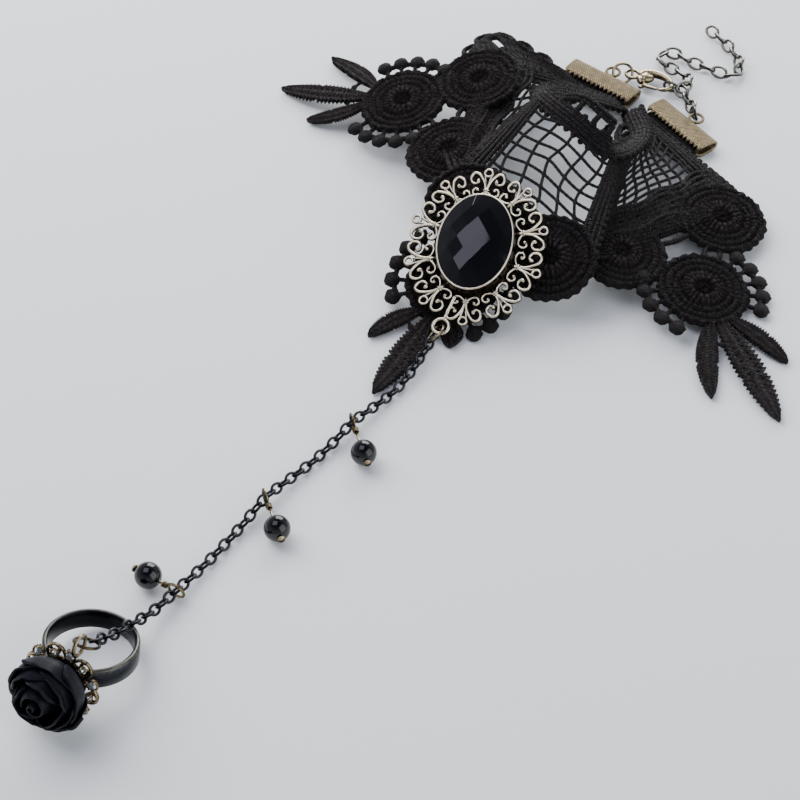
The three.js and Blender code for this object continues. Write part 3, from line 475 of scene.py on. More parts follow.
net_rows, net_columns = (8, 8, 10), (6, 6, 8)
mat_start = (0.74, 0.90, 0.70)
net_cord, side_cord, tie_cord, beading_tie, between_fans_cord, clamped_cord = 0.43, 0.70, 0.75, 0.85, 0.8, 0.6
net_knot_radius, net_knot_grid = 0.66, (5, 8)
picot_radius, leaf_picot_radius, picot_grid = 0.95, 0.90, (6, 10)
leaf_widths, leaf_bends, leaf_floor = (4.3, 5.8, 4.3), (-0.9, 0.3, 0.9), 0.65
knob_ring, knob_start, knob_pitch, knobs_per_side = 14.8, 50, 17.5, 5
knob_radius, knob_floor = 2.05, 1.2
rope_parts, wheel_parts, leaf_parts = [], [], []


def sew(points, radius, top=(0, 0, 1), step=0.4, sides=8, lump=0.25, pitch=1.1):
    """Adds a knotted cord to the lace, along a rounded line through the points."""
    rope_parts.append(rope(smooth_route(points, step), radius, sides, lump=lump, pitch=pitch, top=top))


def sew_side_cord(points, top):
    sew(points, side_cord, top, step=0.45, lump=0.40)


def stitched_mat(point_at, out, rows, columns, holes=()):
    """Close crochet between two cords: rows of small knots, left open at the cells listed as holes."""
    grid = np.array([[point_at(column / (columns - 1), row / (rows - 1)) for column in range(columns)]
                     for row in range(rows)])
    row_number, column_number = np.mgrid[0:rows, 0:columns]
    knots = (np.abs(np.sin(math.pi * row_number / 3.1)) ** 0.7
             * (0.55 + 0.45 * np.abs(np.cos(math.pi * (column_number / 2.9 + row_number / 6)))))
    rough = np.array([[rng.uniform(-0.22, 0.22) for column in range(columns)] for row in range(rows)])
    height = 0.35 + 0.75 * knots + rough
    # The third mark is painted light: the higher a knot stands, the lighter it is.
    marks = np.stack([column_number * 0.5, row_number * 2.0, 0.18 + 0.5 * knots + rough], -1).astype(float)
    return shell(grid + height[..., None] * out, grid - 0.5 * height[..., None] * out, marks,
                 lambda i, j: (i, j) in holes)


for number, fan in enumerate(fans):
    at = net_sheet(number)
    out = fan_out(fan)
    first, second, lower = (on_lace(fan[key]) for key in ("first", "second", "lower"))
    rows, columns = net_rows[number], net_columns[number]
    deepest = mat_start[number] + 0.03
    drift = 0.030
    crossings = {}
    for row in range(rows + 1):
        for column in range(columns + 1):
            free = 0 < column < columns and 0 < row < rows
            sway = drift * math.sin(2.2 * math.pi * row / rows + number) if free else 0
            s = 0.08 + 0.84 * column / columns + sway + (rng.uniform(-0.012, 0.012) if free else 0)
            sag = drift * math.sin(2.4 * math.pi * column / columns + number) if 0 < row < rows else 0
            t = row / rows + sag + (rng.uniform(-0.014, 0.014) if free else 0)
            crossings[row, column] = at(s, deepest * min(t, 1))
    net_lines = [[crossings[row, column] for column in range(columns + 1)] for row in range(1, rows)]
    net_lines += [[crossings[row, column] for row in range(rows + 1)] for column in range(columns + 1)]
    for line in net_lines:
        sew(line, net_cord, out, step=0.5, sides=7, lump=0.2, pitch=0.8)
    for row in range(1, rows):
        for column in range(1, columns):
            leaf_parts.append(picot(crossings[row, column], net_knot_radius, out, *net_knot_grid))
    for edge, towards_net in ((0, 1), (1, -1)):
        for lane in range(4):
            line = [at(edge + (0.02 + lane * 0.036) * towards_net, t) for t in np.linspace(0, 1, 12)]
            sew_side_cord(line + out * (0.3 if lane in (1, 2) else 0), out)
        for bump_place in smooth_route([at(edge, t) for t in np.linspace(0.1, 0.9, 14)], 2.2):
            leaf_parts.append(picot(bump_place, picot_radius, out, *picot_grid))

    def from_mat(s, u):
        """A fan's mat starts inside the net and runs down between the upper wheels to their middles."""
        if u < 0.6:
            return at(s, mat_start[number] + (1 - mat_start[number]) * u / 0.6)
        return at(s, 1) + (first + (second - first) * s - at(s, 1)) * (u - 0.6) / 0.4 * 0.9

    mat_holes = {(i, j) for i in (2, 8) for j in range(4, 59, 8)} if number == 2 else ()
    leaf_parts.append(stitched_mat(from_mat, out, 30, 64, mat_holes))
    for t in (mat_start[number], mat_start[number] + 0.05, 0.97):
        wave = [(s, min(t + 0.025 * math.cos(6 * math.pi * s), 1)) for s in np.linspace(0.04, 0.96, 22)]
        sew_side_cord([at(*place) + out * 0.5 for place in wave], out)
    for centre in (first, second, lower):
        wheel_parts.append(stitched_wheel(centre + out * wheel_lift, facing(out, (1, 0, 0))))

    middle_tip = on_lace((*fan["leaves"][1], 0))
    ahead, aside, _ = facing(out, middle_tip - lower)
    leaf_middles = []
    for leaf_number, (east, north) in enumerate(fan["leaves"]):
        tip = spot(east * lace_reach, north * lace_reach, leaf_floor)
        to_middle = (middle_tip - lower) * (1, 1, 0)
        to_tip = (tip - lower) * (1, 1, 0)
        blend = unit(to_middle) * 0.3 + unit(to_tip) * 0.7
        local = unit(blend - out * (blend @ out))
        base = lower + local * (wheel_radius - 1.2)
        base[2] = max(base[2], leaf_floor)
        leaf_parts.append(stitched_leaf(base, tip, leaf_widths[leaf_number], leaf_bends[leaf_number],
                                        leaf_number == 1))
        leaf_middles.append(base + (tip - base) * 0.27)
    for one, two in zip(leaf_middles, leaf_middles[1:]):
        sew([one, (one + two) / 2, two], 0.5, out, sides=7, lump=0.2)
        leaf_parts.append(picot((one + two) / 2, leaf_picot_radius, out, *picot_grid))

    for side in (-1, 1):
        knobs = []
        for count in range(knobs_per_side):
            turn = math.radians(side * (knob_start + count * knob_pitch))
            arm = math.cos(turn) * ahead + math.sin(turn) * aside
            knob = lower + arm * knob_ring
            knob[2] = max(knob[2], knob_floor)
            foot = lower + arm * (wheel_radius - 0.5)
            knobs.append(knob)
            leaf_parts.append(picot(knob, knob_radius, out))
            sew([foot, (foot + knob) / 2, knob], 0.62, out, sides=7, lump=0.2)
        for one, two in zip(knobs, knobs[1:]):
            dip = (one + two) / 2 - unit((one + two) / 2 - lower) * 0.5
            sew([one, dip, two], tie_cord, out)
    for one, two in ((first, second), (first, lower), (second, lower)):
        way = unit(two - one)
        beside = np.cross(out, way)
        if np.linalg.norm(two - one) > 2 * wheel_radius - 1:
            for lane in (-1, 1):
                sew([one + way * (wheel_radius - 0.8) + beside * lane * 1.4,
                     (one + two) / 2 + beside * lane * 1.9,
                     two - way * (wheel_radius - 0.8) + beside * lane * 1.4], tie_cord, out)

rim_tilt = np.array((-0.35, -0.35, 0.87))
rim_aside = np.cross(rim_tilt, np.gradient(rim_line, axis=0))
rim_aside /= np.linalg.norm(rim_aside, axis=1)[:, None]
rim_middle = len(rim_line) // 2
if (spot(-14, -18, 12) - rim_line[rim_middle]) @ rim_aside[rim_middle] < 0:
    rim_aside *= -1
for lane in range(5):
    offset = (lane - 2) * 1.0
    lift = 0.35 if lane in (1, 2, 3) else 0
    lane_line = rim_line + rim_aside * offset + rim_tilt * lift
    sew_side_cord(lane_line[::12], rim_tilt)
for offset, step in ((-2.6, 2.4), (2.4, 2.9)):
    edge_line = smooth_route((rim_line + rim_aside * offset)[::10], step)
    leaf_parts += [picot(place, picot_radius, unit(rim_tilt), *picot_grid) for place in edge_line]

# The beading along the rim's inner side: a double cord that leaves the rim, runs beside it on short ties
# and joins it again.
beading = slice(int(len(rim_line) * 0.42), int(len(rim_line) * 0.97))
beading_share = np.linspace(0, 1, beading.stop - beading.start)
beading_near, beading_far, beading_turn_in = 2.0, 5.6, 0.14
beading_reach = beading_near + (beading_far - beading_near) * np.sin(
    math.pi / 2 * np.clip(np.minimum(beading_share, 1 - beading_share) / beading_turn_in, 0, 1))
beading_line = rim_line[beading] + rim_aside[beading] * beading_reach[:, None]
for lane in (0, 1.1):
    sew_side_cord((beading_line + rim_aside[beading] * lane)[::14], rim_tilt)
tie_step = 21
for tie in range(beading.start + 6, beading.stop, tie_step):
    far = beading_reach[tie - beading.start]
    line = [rim_line[tie] + rim_aside[tie] * reach for reach in (1.6, (1.6 + far) / 2, far)]
    sew(line, beading_tie, rim_tilt)

# The scalloped edging that runs from the left clamp's outer end round to the first fan's upper wheel.
edging_route = [(-19.2, 9.0, 2.8), (-23.8, 9.4, 6), (-29.7, 12.5, 8), (-35.7, 15.6, 10), (-40.0, 15.4, 11),
                (-44.2, 10.5, 11.5), (-47.5, 5.0, 11.5)]
edging = smooth_route(edging_route, 0.5)
first_net = net_sheet(0)


def to_edging(s, u):
    inner = first_net(0.01, 0.34 + 0.66 * s)
    outer = edging[min(int(s * (len(edging) - 1)), len(edging) - 1)]
    return inner + (outer - inner) * u


scallop_holes = {(i, j) for i in range(9, 13) for j in (*range(12, 17), *range(24, 30), *range(38, 43))}
edging_out = unit(np.array((-0.25, 0.35, 0.9)))
leaf_parts.append(stitched_mat(to_edging, edging_out, 15, 60, scallop_holes))
rope_parts.append(rope(edging, 0.85, 8, lump=0.25, top=edging_out))
for share in (0.24, 0.40, 0.56, 0.72, 0.88):
    base = edging[int(share * (len(edging) - 1))]
    ahead = unit(edging[int(share * (len(edging) - 1)) + 1] - base)
    aside = np.cross(edging_out, ahead) * -1
    arch = [base + ahead * along + aside * rise
            for along, rise in ((-2.6, 0), (-1.7, 2.0), (0, 2.9), (1.7, 2.0), (2.6, 0))]
    sew(arch, tie_cord, edging_out)

for near, far in ((0, 1), (1, 2)):
    one, two = on_lace(fans[near]["second"]), on_lace(fans[far]["first"])
    for lane in (-1, 0, 1):
        aside = unit(np.cross(two - one, (0, 0, 1))) * lane * 1.5
        sew([one + aside, (one + two) / 2 + aside, two + aside], between_fans_cord, step=0.5, lump=0.40)
for side, towards in (("left", 1), ("right", -1)):
    for lane in range(5):
        across = towards * (clamp_depth / 2 - 2.2 + lane * 1.05)
        line = [on_clamp(side, along, across, clamp_height / 2) for along in (-9.3, -3, 3, 9.3)]
        sew(line, clamped_cord, step=0.5)


def finish_nodes(name):
    material = bpy.data.materials.new(name)
    material.use_nodes = True
    tree = material.node_tree
    return material, tree, tree.nodes["Principled BSDF"]


def node(tree, kind, **settings):
    made = tree.nodes.new(kind)
    for key, value in settings.items():
        if key in made.inputs:
            made.inputs[key].default_value = value
        else:
            setattr(made, key, value)
    return made


def ramp(tree, source, stops):
    made = tree.nodes.new("ShaderNodeValToRGB")
    tree.links.new(source, made.inputs["Fac"])
    elements = made.color_ramp.elements
    while len(elements) < len(stops):
        elements.new(0.5)
    for element, (place, colour) in zip(elements, stops):
        element.position = place
        element.color = (*colour, 1)
    return made.outputs["Color"]


def mark_of(tree, label):
    return node(tree, "ShaderNodeAttribute", attribute_name=label).outputs["Fac"]


def maths(tree, operation, one, two):
    made = tree.nodes.new("ShaderNodeMath")
    made.operation = operation
    for socket, value in zip(made.inputs, (one, two)):
        if isinstance(value, (int, float)):
            socket.default_value = value
        else:
            tree.links.new(value, socket)
    return made.outputs[0]


def plus(tree, one, two):
    return maths(tree, "ADD", one, two)


def times(tree, one, two):
    return maths(tree, "MULTIPLY", one, two)


def black_thread():
    """Matt cotton thread in slanting stitches, with painted shade near black in hollows and painted grey
    highlights where it stands up.
    """
    material, tree, shader = finish_nodes("black_thread")
    coordinates = node(tree, "ShaderNodeTexCoord").outputs["Object"]
    cloud = node(tree, "ShaderNodeTexNoise", Scale=1100.0, Detail=5.0, Roughness=0.8)
    fuzz = node(tree, "ShaderNodeTexNoise", Scale=2100.0, Detail=3.0, Roughness=0.75)
    tree.links.new(coordinates, cloud.inputs["Vector"])
    tree.links.new(coordinates, fuzz.inputs["Vector"])
    twist = plus(tree, times(tree, mark_of(tree, "run"), 2 * math.pi / stitch), mark_of(tree, "turn"))
    strands = plus(tree, times(tree, maths(tree, "SINE", twist, 0.0), 0.5), 0.5)
    # Painted shade and highlight: raised parts, times a cloud of noise, go light and hollows near black; the
    # stitch crests get painted grey specks of highlight.
    depth = times(tree, mark_of(tree, "wear_and_shade"), cloud.outputs["Fac"])
    tone = plus(tree, depth, times(tree, times(tree, strands, fuzz.outputs["Fac"]), 0.45))
    # The ramp runs from painted shade, near black, to painted highlight, a brownish grey.
    colour = ramp(tree, tone, [
        (0.20, (0.0006, 0.0005, 0.0009)),
        (0.40, (0.0032, 0.0025, 0.0036)),
        (0.54, (0.0150, 0.0122, 0.0140)),
        (0.70, (0.1050, 0.0880, 0.0880)),
    ])
    tree.links.new(colour, shader.inputs["Base Color"])
    shader.inputs["Roughness"].default_value = 0.62
    shader.inputs["Specular IOR Level"].default_value = 0.22
    shader.inputs["Sheen Weight"].default_value = 0.05
    shader.inputs["Sheen Roughness"].default_value = 0.45
    shader.inputs["Sheen Tint"].default_value = (0.55, 0.42, 0.40, 1)
    relief = plus(tree, plus(tree, strands, times(tree, fuzz.outputs["Fac"], 1.2)),
                  times(tree, cloud.outputs["Fac"], 2.4))
    bump = node(tree, "ShaderNodeBump", Strength=1.0, Distance=0.00100)
    tree.links.new(relief, bump.inputs["Height"])
    tree.links.new(bump.outputs["Normal"], shader.inputs["Normal"])
    return material


thread = black_thread()
lace = lay_piece("lace_net", rope_parts, thread, "black_lace", stands_for=["lace_cuff"])
wheels = lay_piece("lace_wheels", wheel_parts, thread, "black_lace")
leaves = lay_piece("lace_leaves", leaf_parts, thread, "black_lace")


# Two ribbon clamps of antique brass plate: each is folded over the lace's end into a rounded spine, bitten
# shut by its teeth, and has a wire loop on the spine for the clasp or the chain.
clamp_plate = 0.7
clamp_teeth = 15
tooth_depth = 1.2
clamp_loop_radius, clamp_loop_wire, clamp_loop_height = 1.8, 0.4, 2.1


def frame_along(origin, x_axis, z_near):
    """Place of a small piece: its origin and its x, y and z axes, z as near the given way as can be."""
    x = unit(np.asarray(x_axis, float))
    y = unit(np.cross(z_near, x))
    return np.asarray(origin, float), np.array((x, y, np.cross(x, y)))


def frame_facing(origin, z_axis, x_near):
    z = unit(np.asarray(z_axis, float))
    y = unit(np.cross(z, x_near))
    return np.asarray(origin, float), np.array((np.cross(y, z), y, z))


def lean_round_x(place, degrees):
    origin, axes = place
    cosine, sine = math.cos(math.radians(degrees)), math.sin(math.radians(degrees))
    return origin, np.array((axes[0], axes[1] * cosine + axes[2] * sine, axes[2] * cosine - axes[1] * sine))


def put(part, place):
    """Moves a part made round the origin to its place."""
    vertices, faces, marks = part
    origin, axes = place
    return np.asarray(vertices) @ axes + origin, faces, marks


def lay_at(place, name, parts, *how, **more):
    """Lays a piece whose parts were made round the origin of its place."""
    return lay_piece(name, [put(part, place) for part in parts], *how, **more)


def shifted(part, by):
    return part[0] + np.asarray(by, float), part[1], part[2]


def point_in(place, point):
    return np.asarray(point, float) @ place[1] + place[0]


def ring_line(radius, around, stretch=1.0):
    turn = np.arange(around) / around * 2 * math.pi
    return np.stack([radius * stretch * np.cos(turn), radius * np.sin(turn), np.zeros(around)], 1)


def wire_ring(radius, wire, around=40, sides=10, stretch=1.0, flat=1.0):
    return rope(ring_line(radius, around, stretch), wire, sides, closed=True, flat=flat)


def aged_and_shaded_metal(name, deep, middle, bright, roughness=0.32, grain=0.0, face=(0, 0, 1), patina_and_side_shade=0.45):
    """Plated metal, antique dark in its hollows, with painted shade there and down its sides and a painted
    highlight on its face.
    """
    material, tree, shader = finish_nodes(name)
    coordinates = node(tree, "ShaderNodeTexCoord").outputs["Object"]
    blotch = node(tree, "ShaderNodeTexNoise", Scale=520.0, Detail=5.0, Roughness=0.6)
    tree.links.new(coordinates, blotch.inputs["Vector"])
    # Painted shade: the colour darkens as the surface turns away from the face, by the side-shade strength.
    towards_face = node(tree, "ShaderNodeVectorMath", operation="DOT_PRODUCT")
    towards_face.inputs[1].default_value = tuple(face)
    tree.links.new(node(tree, "ShaderNodeTexCoord").outputs["Normal"], towards_face.inputs[0])
    sides = times(tree, maths(tree, "SUBTRACT", towards_face.outputs["Value"], 0.8), patina_and_side_shade)
    # The tone mark brings painted shade and highlight, and in part the antique finish; noise adds random
    # blotches.
    worn_and_shaded = plus(tree, times(tree, mark_of(tree, "wear_and_shade"), 0.85),
                times(tree, maths(tree, "SUBTRACT", blotch.outputs["Fac"], 0.5), 0.6))
    worn_and_shaded = plus(tree, worn_and_shaded, sides)
    shader.inputs["Metallic"].default_value = 1.0
    rough = plus(tree, times(tree, blotch.outputs["Fac"], 0.22), roughness - 0.11)
    tree.links.new(rough, shader.inputs["Roughness"])
    fine = node(tree, "ShaderNodeTexNoise", Scale=3400.0, Detail=2.0)
    tree.links.new(coordinates, fine.inputs["Vector"])
    relief = fine.outputs["Fac"]
    if grain:
        ribs = maths(tree, "SINE", times(tree, mark_of(tree, "run"), 2 * math.pi / grain), 0.0)
        cross = maths(tree, "SINE", times(tree, mark_of(tree, "turn"), 2 * math.pi / grain), 0.0)
        weave = times(tree, plus(tree, ribs, cross), 0.5)
        worn_and_shaded = plus(tree, worn_and_shaded, times(tree, weave, 0.16))
        relief = plus(tree, weave, relief)
    colour = ramp(tree, worn_and_shaded, [(0.08, deep), (0.45, middle), (0.92, bright)])
    tree.links.new(colour, shader.inputs["Base Color"])
    strength, depth = (0.8, 0.00012) if grain else (0.35, 0.00006)
    bump = node(tree, "ShaderNodeBump", Strength=strength, Distance=depth)
    tree.links.new(relief, bump.inputs["Height"])
    tree.links.new(bump.outputs["Normal"], shader.inputs["Normal"])
    return material


def clamp_plates(side):
    """Folded plate as one bent sheet: rows run along the clamp, columns round its section."""
    rows_per_tooth = 6
    rows = clamp_teeth * rows_per_tooth + 1
    bend = clamp_height / 2
    spine = -clamp_depth / 2
    section = []
    for share in np.linspace(0, 1, 9):
        section.append(("top", share, 0))
    for lean in np.linspace(0, 180, 11)[1:-1]:
        section.append(("fold", 1, lean))
    for share in np.linspace(1, 0, 9):
        section.append(("base", share, 0))
    outer = np.zeros((rows, len(section), 3))
    inner = np.zeros_like(outer)
    marks = np.zeros_like(outer)
    for row in range(rows):
        along = -clamp_length / 2 + clamp_length * row / (rows - 1)
        phase = row % rows_per_tooth / rows_per_tooth
        tooth = 1 - abs(2 * phase - 1)
        edge = clamp_depth / 2 - tooth_depth * (1 - tooth)
        for column, (part_name, share, lean) in enumerate(section):
            end = spine + bend
            across = edge + (end - edge) * share
            dip = 0.55 * max(0, (across - clamp_depth / 2 + 1.6) / 1.6) ** 1.5
            swell = 0.12 * math.sin(math.pi * share)
            if part_name == "fold":
                ring = np.array((-math.sin(math.radians(lean)), math.cos(math.radians(lean))))
                outside = np.array((end, 0)) + ring * bend
                inside = np.array((end, 0)) + ring * (bend - clamp_plate)
            else:
                sign = 1 if part_name == "top" else -1
                outside = np.array((across, sign * (bend + swell - dip)))
                inside = np.array((across, sign * (bend + swell - dip - clamp_plate)))
            outer[row, column] = (along, side * outside[0], outside[1])
            inner[row, column] = (along, side * inside[0], inside[1])
            # The teeth, the ends and the rounded spine get a lighter tone than the flat plate.
            bright = 0.95 if share < 0.15 or row in (0, rows - 1) else 0.62 + 0.25 * (part_name == "fold")
            marks[row, column] = (along + across * 0.5, along - across * 0.5, bright)
    return shell(outer, inner, marks) if side > 0 else shell(inner, outer, marks)


bronze_plate = aged_and_shaded_metal("antique_brass", (0.016, 0.011, 0.005), (0.115, 0.085, 0.042), (0.34, 0.27, 0.16),
                          roughness=0.34, grain=0.62, patina_and_side_shade=0.2)
clamp_frames = {
    side: frame_along(spot(*row["middle"], clamp_height / 2), heading(row["along"]), (0, 0, 1))
    for side, row in clamps.items()
}
loop_centres = {}
for side, row in clamps.items():
    loop_at = (0, -row["teeth"] * (clamp_depth / 2 + clamp_loop_radius), clamp_loop_height - clamp_height / 2)
    loop_centres[side] = point_in(clamp_frames[side], loop_at)
    parts = [clamp_plates(row["teeth"]), shifted(wire_ring(clamp_loop_radius, clamp_loop_wire), loop_at)]
    lay_at(clamp_frames[side], f"clamp_{side}", parts, bronze_plate, "pale_bronze",
           stands_for=[f"ribbon_clamp_{side}"])


# Lobster clasp of cast bronze on its own jump ring, closed on the first link of the extender. Its lever
# swings inwards on a pin when the thumb pulls its tab.
clasp_ring_radius, clasp_ring_wire = 2.6, 0.4
clasp_length, clasp_width, clasp_turn = 10.4, 6.8, -28
clasp_eye_radius, clasp_eye_wire, pin_half, pin_radius = 1.7, 0.45, 1.15, 0.42
bronze = aged_and_shaded_metal("bronze_wire", (0.020, 0.014, 0.007), (0.17, 0.125, 0.062), (0.60, 0.50, 0.32), 0.26)
clasp_ring_way = heading(-10)
clasp_ring_centre = loop_centres["left"] + clasp_ring_way * clasp_ring_radius
clasp_ring_place = lean_round_x(frame_along(clasp_ring_centre, clasp_ring_way, (0, 0, 1)), 42)
lay_at(clasp_ring_place, "clasp_ring", [wire_ring(clasp_ring_radius, clasp_ring_wire)], bronze, "bronze",
       stands_for=["clasp_jump_ring"])


def tapered(route, shares, radii, sides, flat):
    """Cast wire whose radius changes along its route."""
    return rope(route, np.interp(np.linspace(0, 1, len(route)), shares, radii), sides, flat=flat)


clasp_eye = clasp_ring_centre + clasp_ring_way * clasp_ring_radius
clasp_place = frame_along(clasp_eye, heading(clasp_turn), (0, 0, 1))
pivot = np.array((clasp_length * 0.40, -clasp_width / 2 + 0.84, 0))
hook_tip = clasp_length * 0.80
hook_line = smooth_route([(1.9, 0.2, 0), (3.0, 1.9, 0), (5.4, 2.85, 0), (8.2, 2.75, 0), (10.6, 1.5, 0),
                          (11.55, -0.2, 0), (10.7, -1.7, 0), (9.5, -2.45, 0),
                          (hook_tip + 0.25, -2.6, 0)], 0.28)
body_line = smooth_route([(1.9, 0, 0), (3.2, 0.1, 0), (4.6, 0.5, 0), (5.5, 1.3, 0)], 0.28)
jaw_line = smooth_route([(2.1, -0.4, 0), (3.0, -1.5, 0), pivot + (-0.35, 0.25, 0)], 0.25)
clasp_parts = [
    tapered(hook_line, [0, 0.15, 0.4, 0.7, 0.93, 1], [1.05, 1.25, 1.1, 0.72, 0.55, 0.3], 14, 0.95),
    tapered(body_line, [0, 0.45, 1], [0.9, 2.15, 1.0], 14, 0.62),
    tapered(jaw_line, [0, 0.5, 1], [0.8, 1.0, 0.62], 12, 0.95),
    wire_ring(clasp_eye_radius, clasp_eye_wire),
    rope([pivot + (0, 0, -pin_half), pivot, pivot + (0, 0, pin_half)], pin_radius, 14, top=(1, 0, 0)),
]
lay_at(clasp_place, "clasp", clasp_parts, bronze, "bronze", stands_for=["clasp_body"])

lever_line = smooth_route([pivot + (0.1, -0.1, 0), pivot + (1.4, -0.35, 0), pivot + (2.8, -0.25, 0),
                           (hook_tip + 0.1, pivot[1] - 0.1, 0)], 0.25)
tab_line = smooth_route([pivot + (0.1, -0.3, 0), pivot + (0.0, -1.0, 0), pivot + (-0.25, -1.7, 0)], 0.2)
lever_parts = [
    tapered(lever_line, [0, 0.3, 1], [0.75, 0.5, 0.42], 12, 0.8),
    tapered(tab_line, [0, 1], [0.42, 0.6], 12, 0.7),
]
lay_at(clasp_place, "lever", lever_parts, bronze, "bronze", body="lever", stands_for=["clasp_lever"])


# Extender chain of dark twisted curb links, bent from round steel wire: one run joins the clasp to the
# right clamp and the free tail lies in a wave on the table.
link_length, link_width, link_wire, link_lean, last_link_reach = 5.0, 3.6, 0.8, 42, 2.1
link_pitch = link_length - 2 * link_wire + 0.2
extender_tail = [
    (0, 0, 0), (3.3, -0.9, 0.6), (4.6, 2.2, 0.8), (2.6, 6.2, 0), (-0.4, 9.4, -0.3), (-1.9, 12.2, -0.4),
    (-0.8, 14.6, -0.5), (1.9, 15.0, -0.5), (5.8, 11.8, -0.5), (9.6, 9.2, -0.5), (13.4, 7.0, -0.5),
    (16.6, 5.4, -0.5), (19.0, 7.6, -0.5), (19.6, 12.0, -0.5), (18.3, 16.2, -0.5), (16.4, 20.2, -0.5),
    (13.8, 24.4, -0.5),
]
extender_short = [(0, 0, 0), (2.6, -2.0, 0), (4.0, -5.6, -0.2)]


def curb_link(place, lean):
    radius = link_width / 2 - link_wire / 2
    stretch = (link_length / 2 - link_wire / 2) / radius
    line = ring_line(radius, 36, stretch)
    line[:, 2] += 0.22 * np.sin(2 * np.arange(36) / 36 * 2 * math.pi)
    return put(rope(line, link_wire / 2, 9, closed=True), lean_round_x(place, lean))


def curb_run(points, last_place=None):
    fine = smooth_route(points, 0.05)
    length = np.linalg.norm(np.diff(fine, axis=0), axis=1).sum()
    count = math.ceil(length / link_pitch - 0.1)
    links = []
    for index in range(1, count + 1):
        at_vertex = round(index / count * (len(fine) - 1))
        ahead = fine[min(at_vertex + 2, len(fine) - 1)] - fine[at_vertex - 2]
        if index == count and last_place:
            links.append(curb_link(last_place, 90))
        else:
            lean = link_lean if index % 2 else -link_lean
            links.append(curb_link(frame_along(fine[at_vertex], ahead, (0, 0, 1)), lean))
    return links


dark_steel = aged_and_shaded_metal("dark_steel", (0.014, 0.013, 0.012), (0.085, 0.078, 0.066), (0.42, 0.40, 0.35), 0.25)
held_link = point_in(clasp_place, (clasp_eye_radius + clasp_length - 0.6, 0, 0))
from_loop = held_link + extender_short[2] - loop_centres["right"]
last_link = loop_centres["right"] + unit(from_loop) * (1, 1, 0) * last_link_reach
last_place = frame_along(last_link, from_loop * (1, 1, 0), (0, 0, 1))
extender_links = [curb_link(frame_along(held_link, heading(clasp_turn), (0, 0, 1)), 90)]
extender_links += curb_run([held_link + np.array(row) for row in extender_short] + [last_link], last_place)
extender_links += curb_run([held_link + np.array(row) for row in extender_tail])
lay_piece("extender", extender_links, dark_steel, "dark_bronze", stands_for=["extender_chain"])


# The setting is cast in antique brass: a smooth bezel round the stone, a back plate, and ten palmettes of
# curled wire. Each has two tall scrolls, a ring between their tips, a knot and two low scrolls on the rim.
stone_width, stone_length = 18.0, 25.0
outer_width, outer_length = 21.0, 28.0
palmette_reach = 6.8
palmette_count, palmette_width, widest_spread = 10, 10.7, 1.04
scroll_level = 0.75
brooch_slope, brooch_facing, brooch_turn = 21.5, -112, -12
brooch_normal = heading(brooch_facing) * math.sin(math.radians(brooch_slope))
brooch_normal[2] = math.cos(math.radians(brooch_slope))
brooch_place = frame_facing(on_lace((-0.464, -0.661, 0.472)), brooch_normal, heading(brooch_turn))


def swept(section, around, half_axes=(0, 0), closed=True):
    """Form swept round an oval. The section's rows are (beyond the oval, level, brightness)."""
    turn = np.arange(around) / around * 2 * math.pi
    vertices, marks = [], []
    for beyond, level, bright in section:
        wide, long = half_axes[0] + beyond, half_axes[1] + beyond
        vertices.append(np.stack([wide * np.cos(turn), long * np.sin(turn), np.full(around, level)], 1))
        marks.append(np.stack([turn * 10, np.full(around, beyond), np.full(around, bright)], 1))
    return np.concatenate(vertices), ring_faces(len(section), around, closed), np.concatenate(marks)


tall_scroll = [(0.25, 1.1), (0.62, 2.75), (1.6, 4.25), (2.9, 5.4), (4.2, 5.4), (4.85, 4.25), (4.45, 3.0),
               (3.3, 2.6), (2.6, 3.25), (3.0, 3.9)]
low_scroll = [(0.2, 0.9), (1.05, 0.0), (2.3, -0.55), (3.35, -0.35), (3.75, 0.7), (3.1, 1.4), (2.45, 1.1),
              (2.6, 0.6)]
tip_ring_out, tip_ring_radius, tip_ring_wire, stem_wire = 5.75, 0.98, 0.36, 0.27


def palmette(spread):
    """One palmette, spread sideways to its place on the oval."""
    parts = []
    for hand in (1, -1):
        for line, thick in ((tall_scroll, 0.42), (low_scroll, 0.36)):
            route = smooth_route([(x * hand * spread, y, 0) for x, y in line], 0.17)
            swelling = thick * np.array((0.8, 1.05, 0.9, 1.3, 1.25, 0.5))
            parts.append(tapered(route, [0, 0.2, 0.85, 0.94, 0.98, 1], swelling, 9, 1.3))
        stem = [(0.1 * hand, 1.6, 0), (0.45 * hand, 3.4, 0), (0.85 * hand, tip_ring_out - 0.5, 0)]
        parts.append(rope(smooth_route(stem, 0.3), stem_wire, 8, flat=1.3))
    parts.append(shifted(wire_ring(tip_ring_radius, tip_ring_wire, 26, 9, flat=1.3), (0, tip_ring_out, 0)))
    foot_line = [(0, -0.9, -0.1), (0, 0.1, 0), (0, 1.0, 0.05), (0, 1.9, 0)]
    parts.append(rope(foot_line, [0.45, 0.40, 0.62, 0.3], 9, flat=1.2))
    parts.append(rope([(-0.8, 1.0, 0.25), (0, 1.0, 0.45), (0.8, 1.0, 0.25)], [0.28, 0.42, 0.28], 9))
    return parts


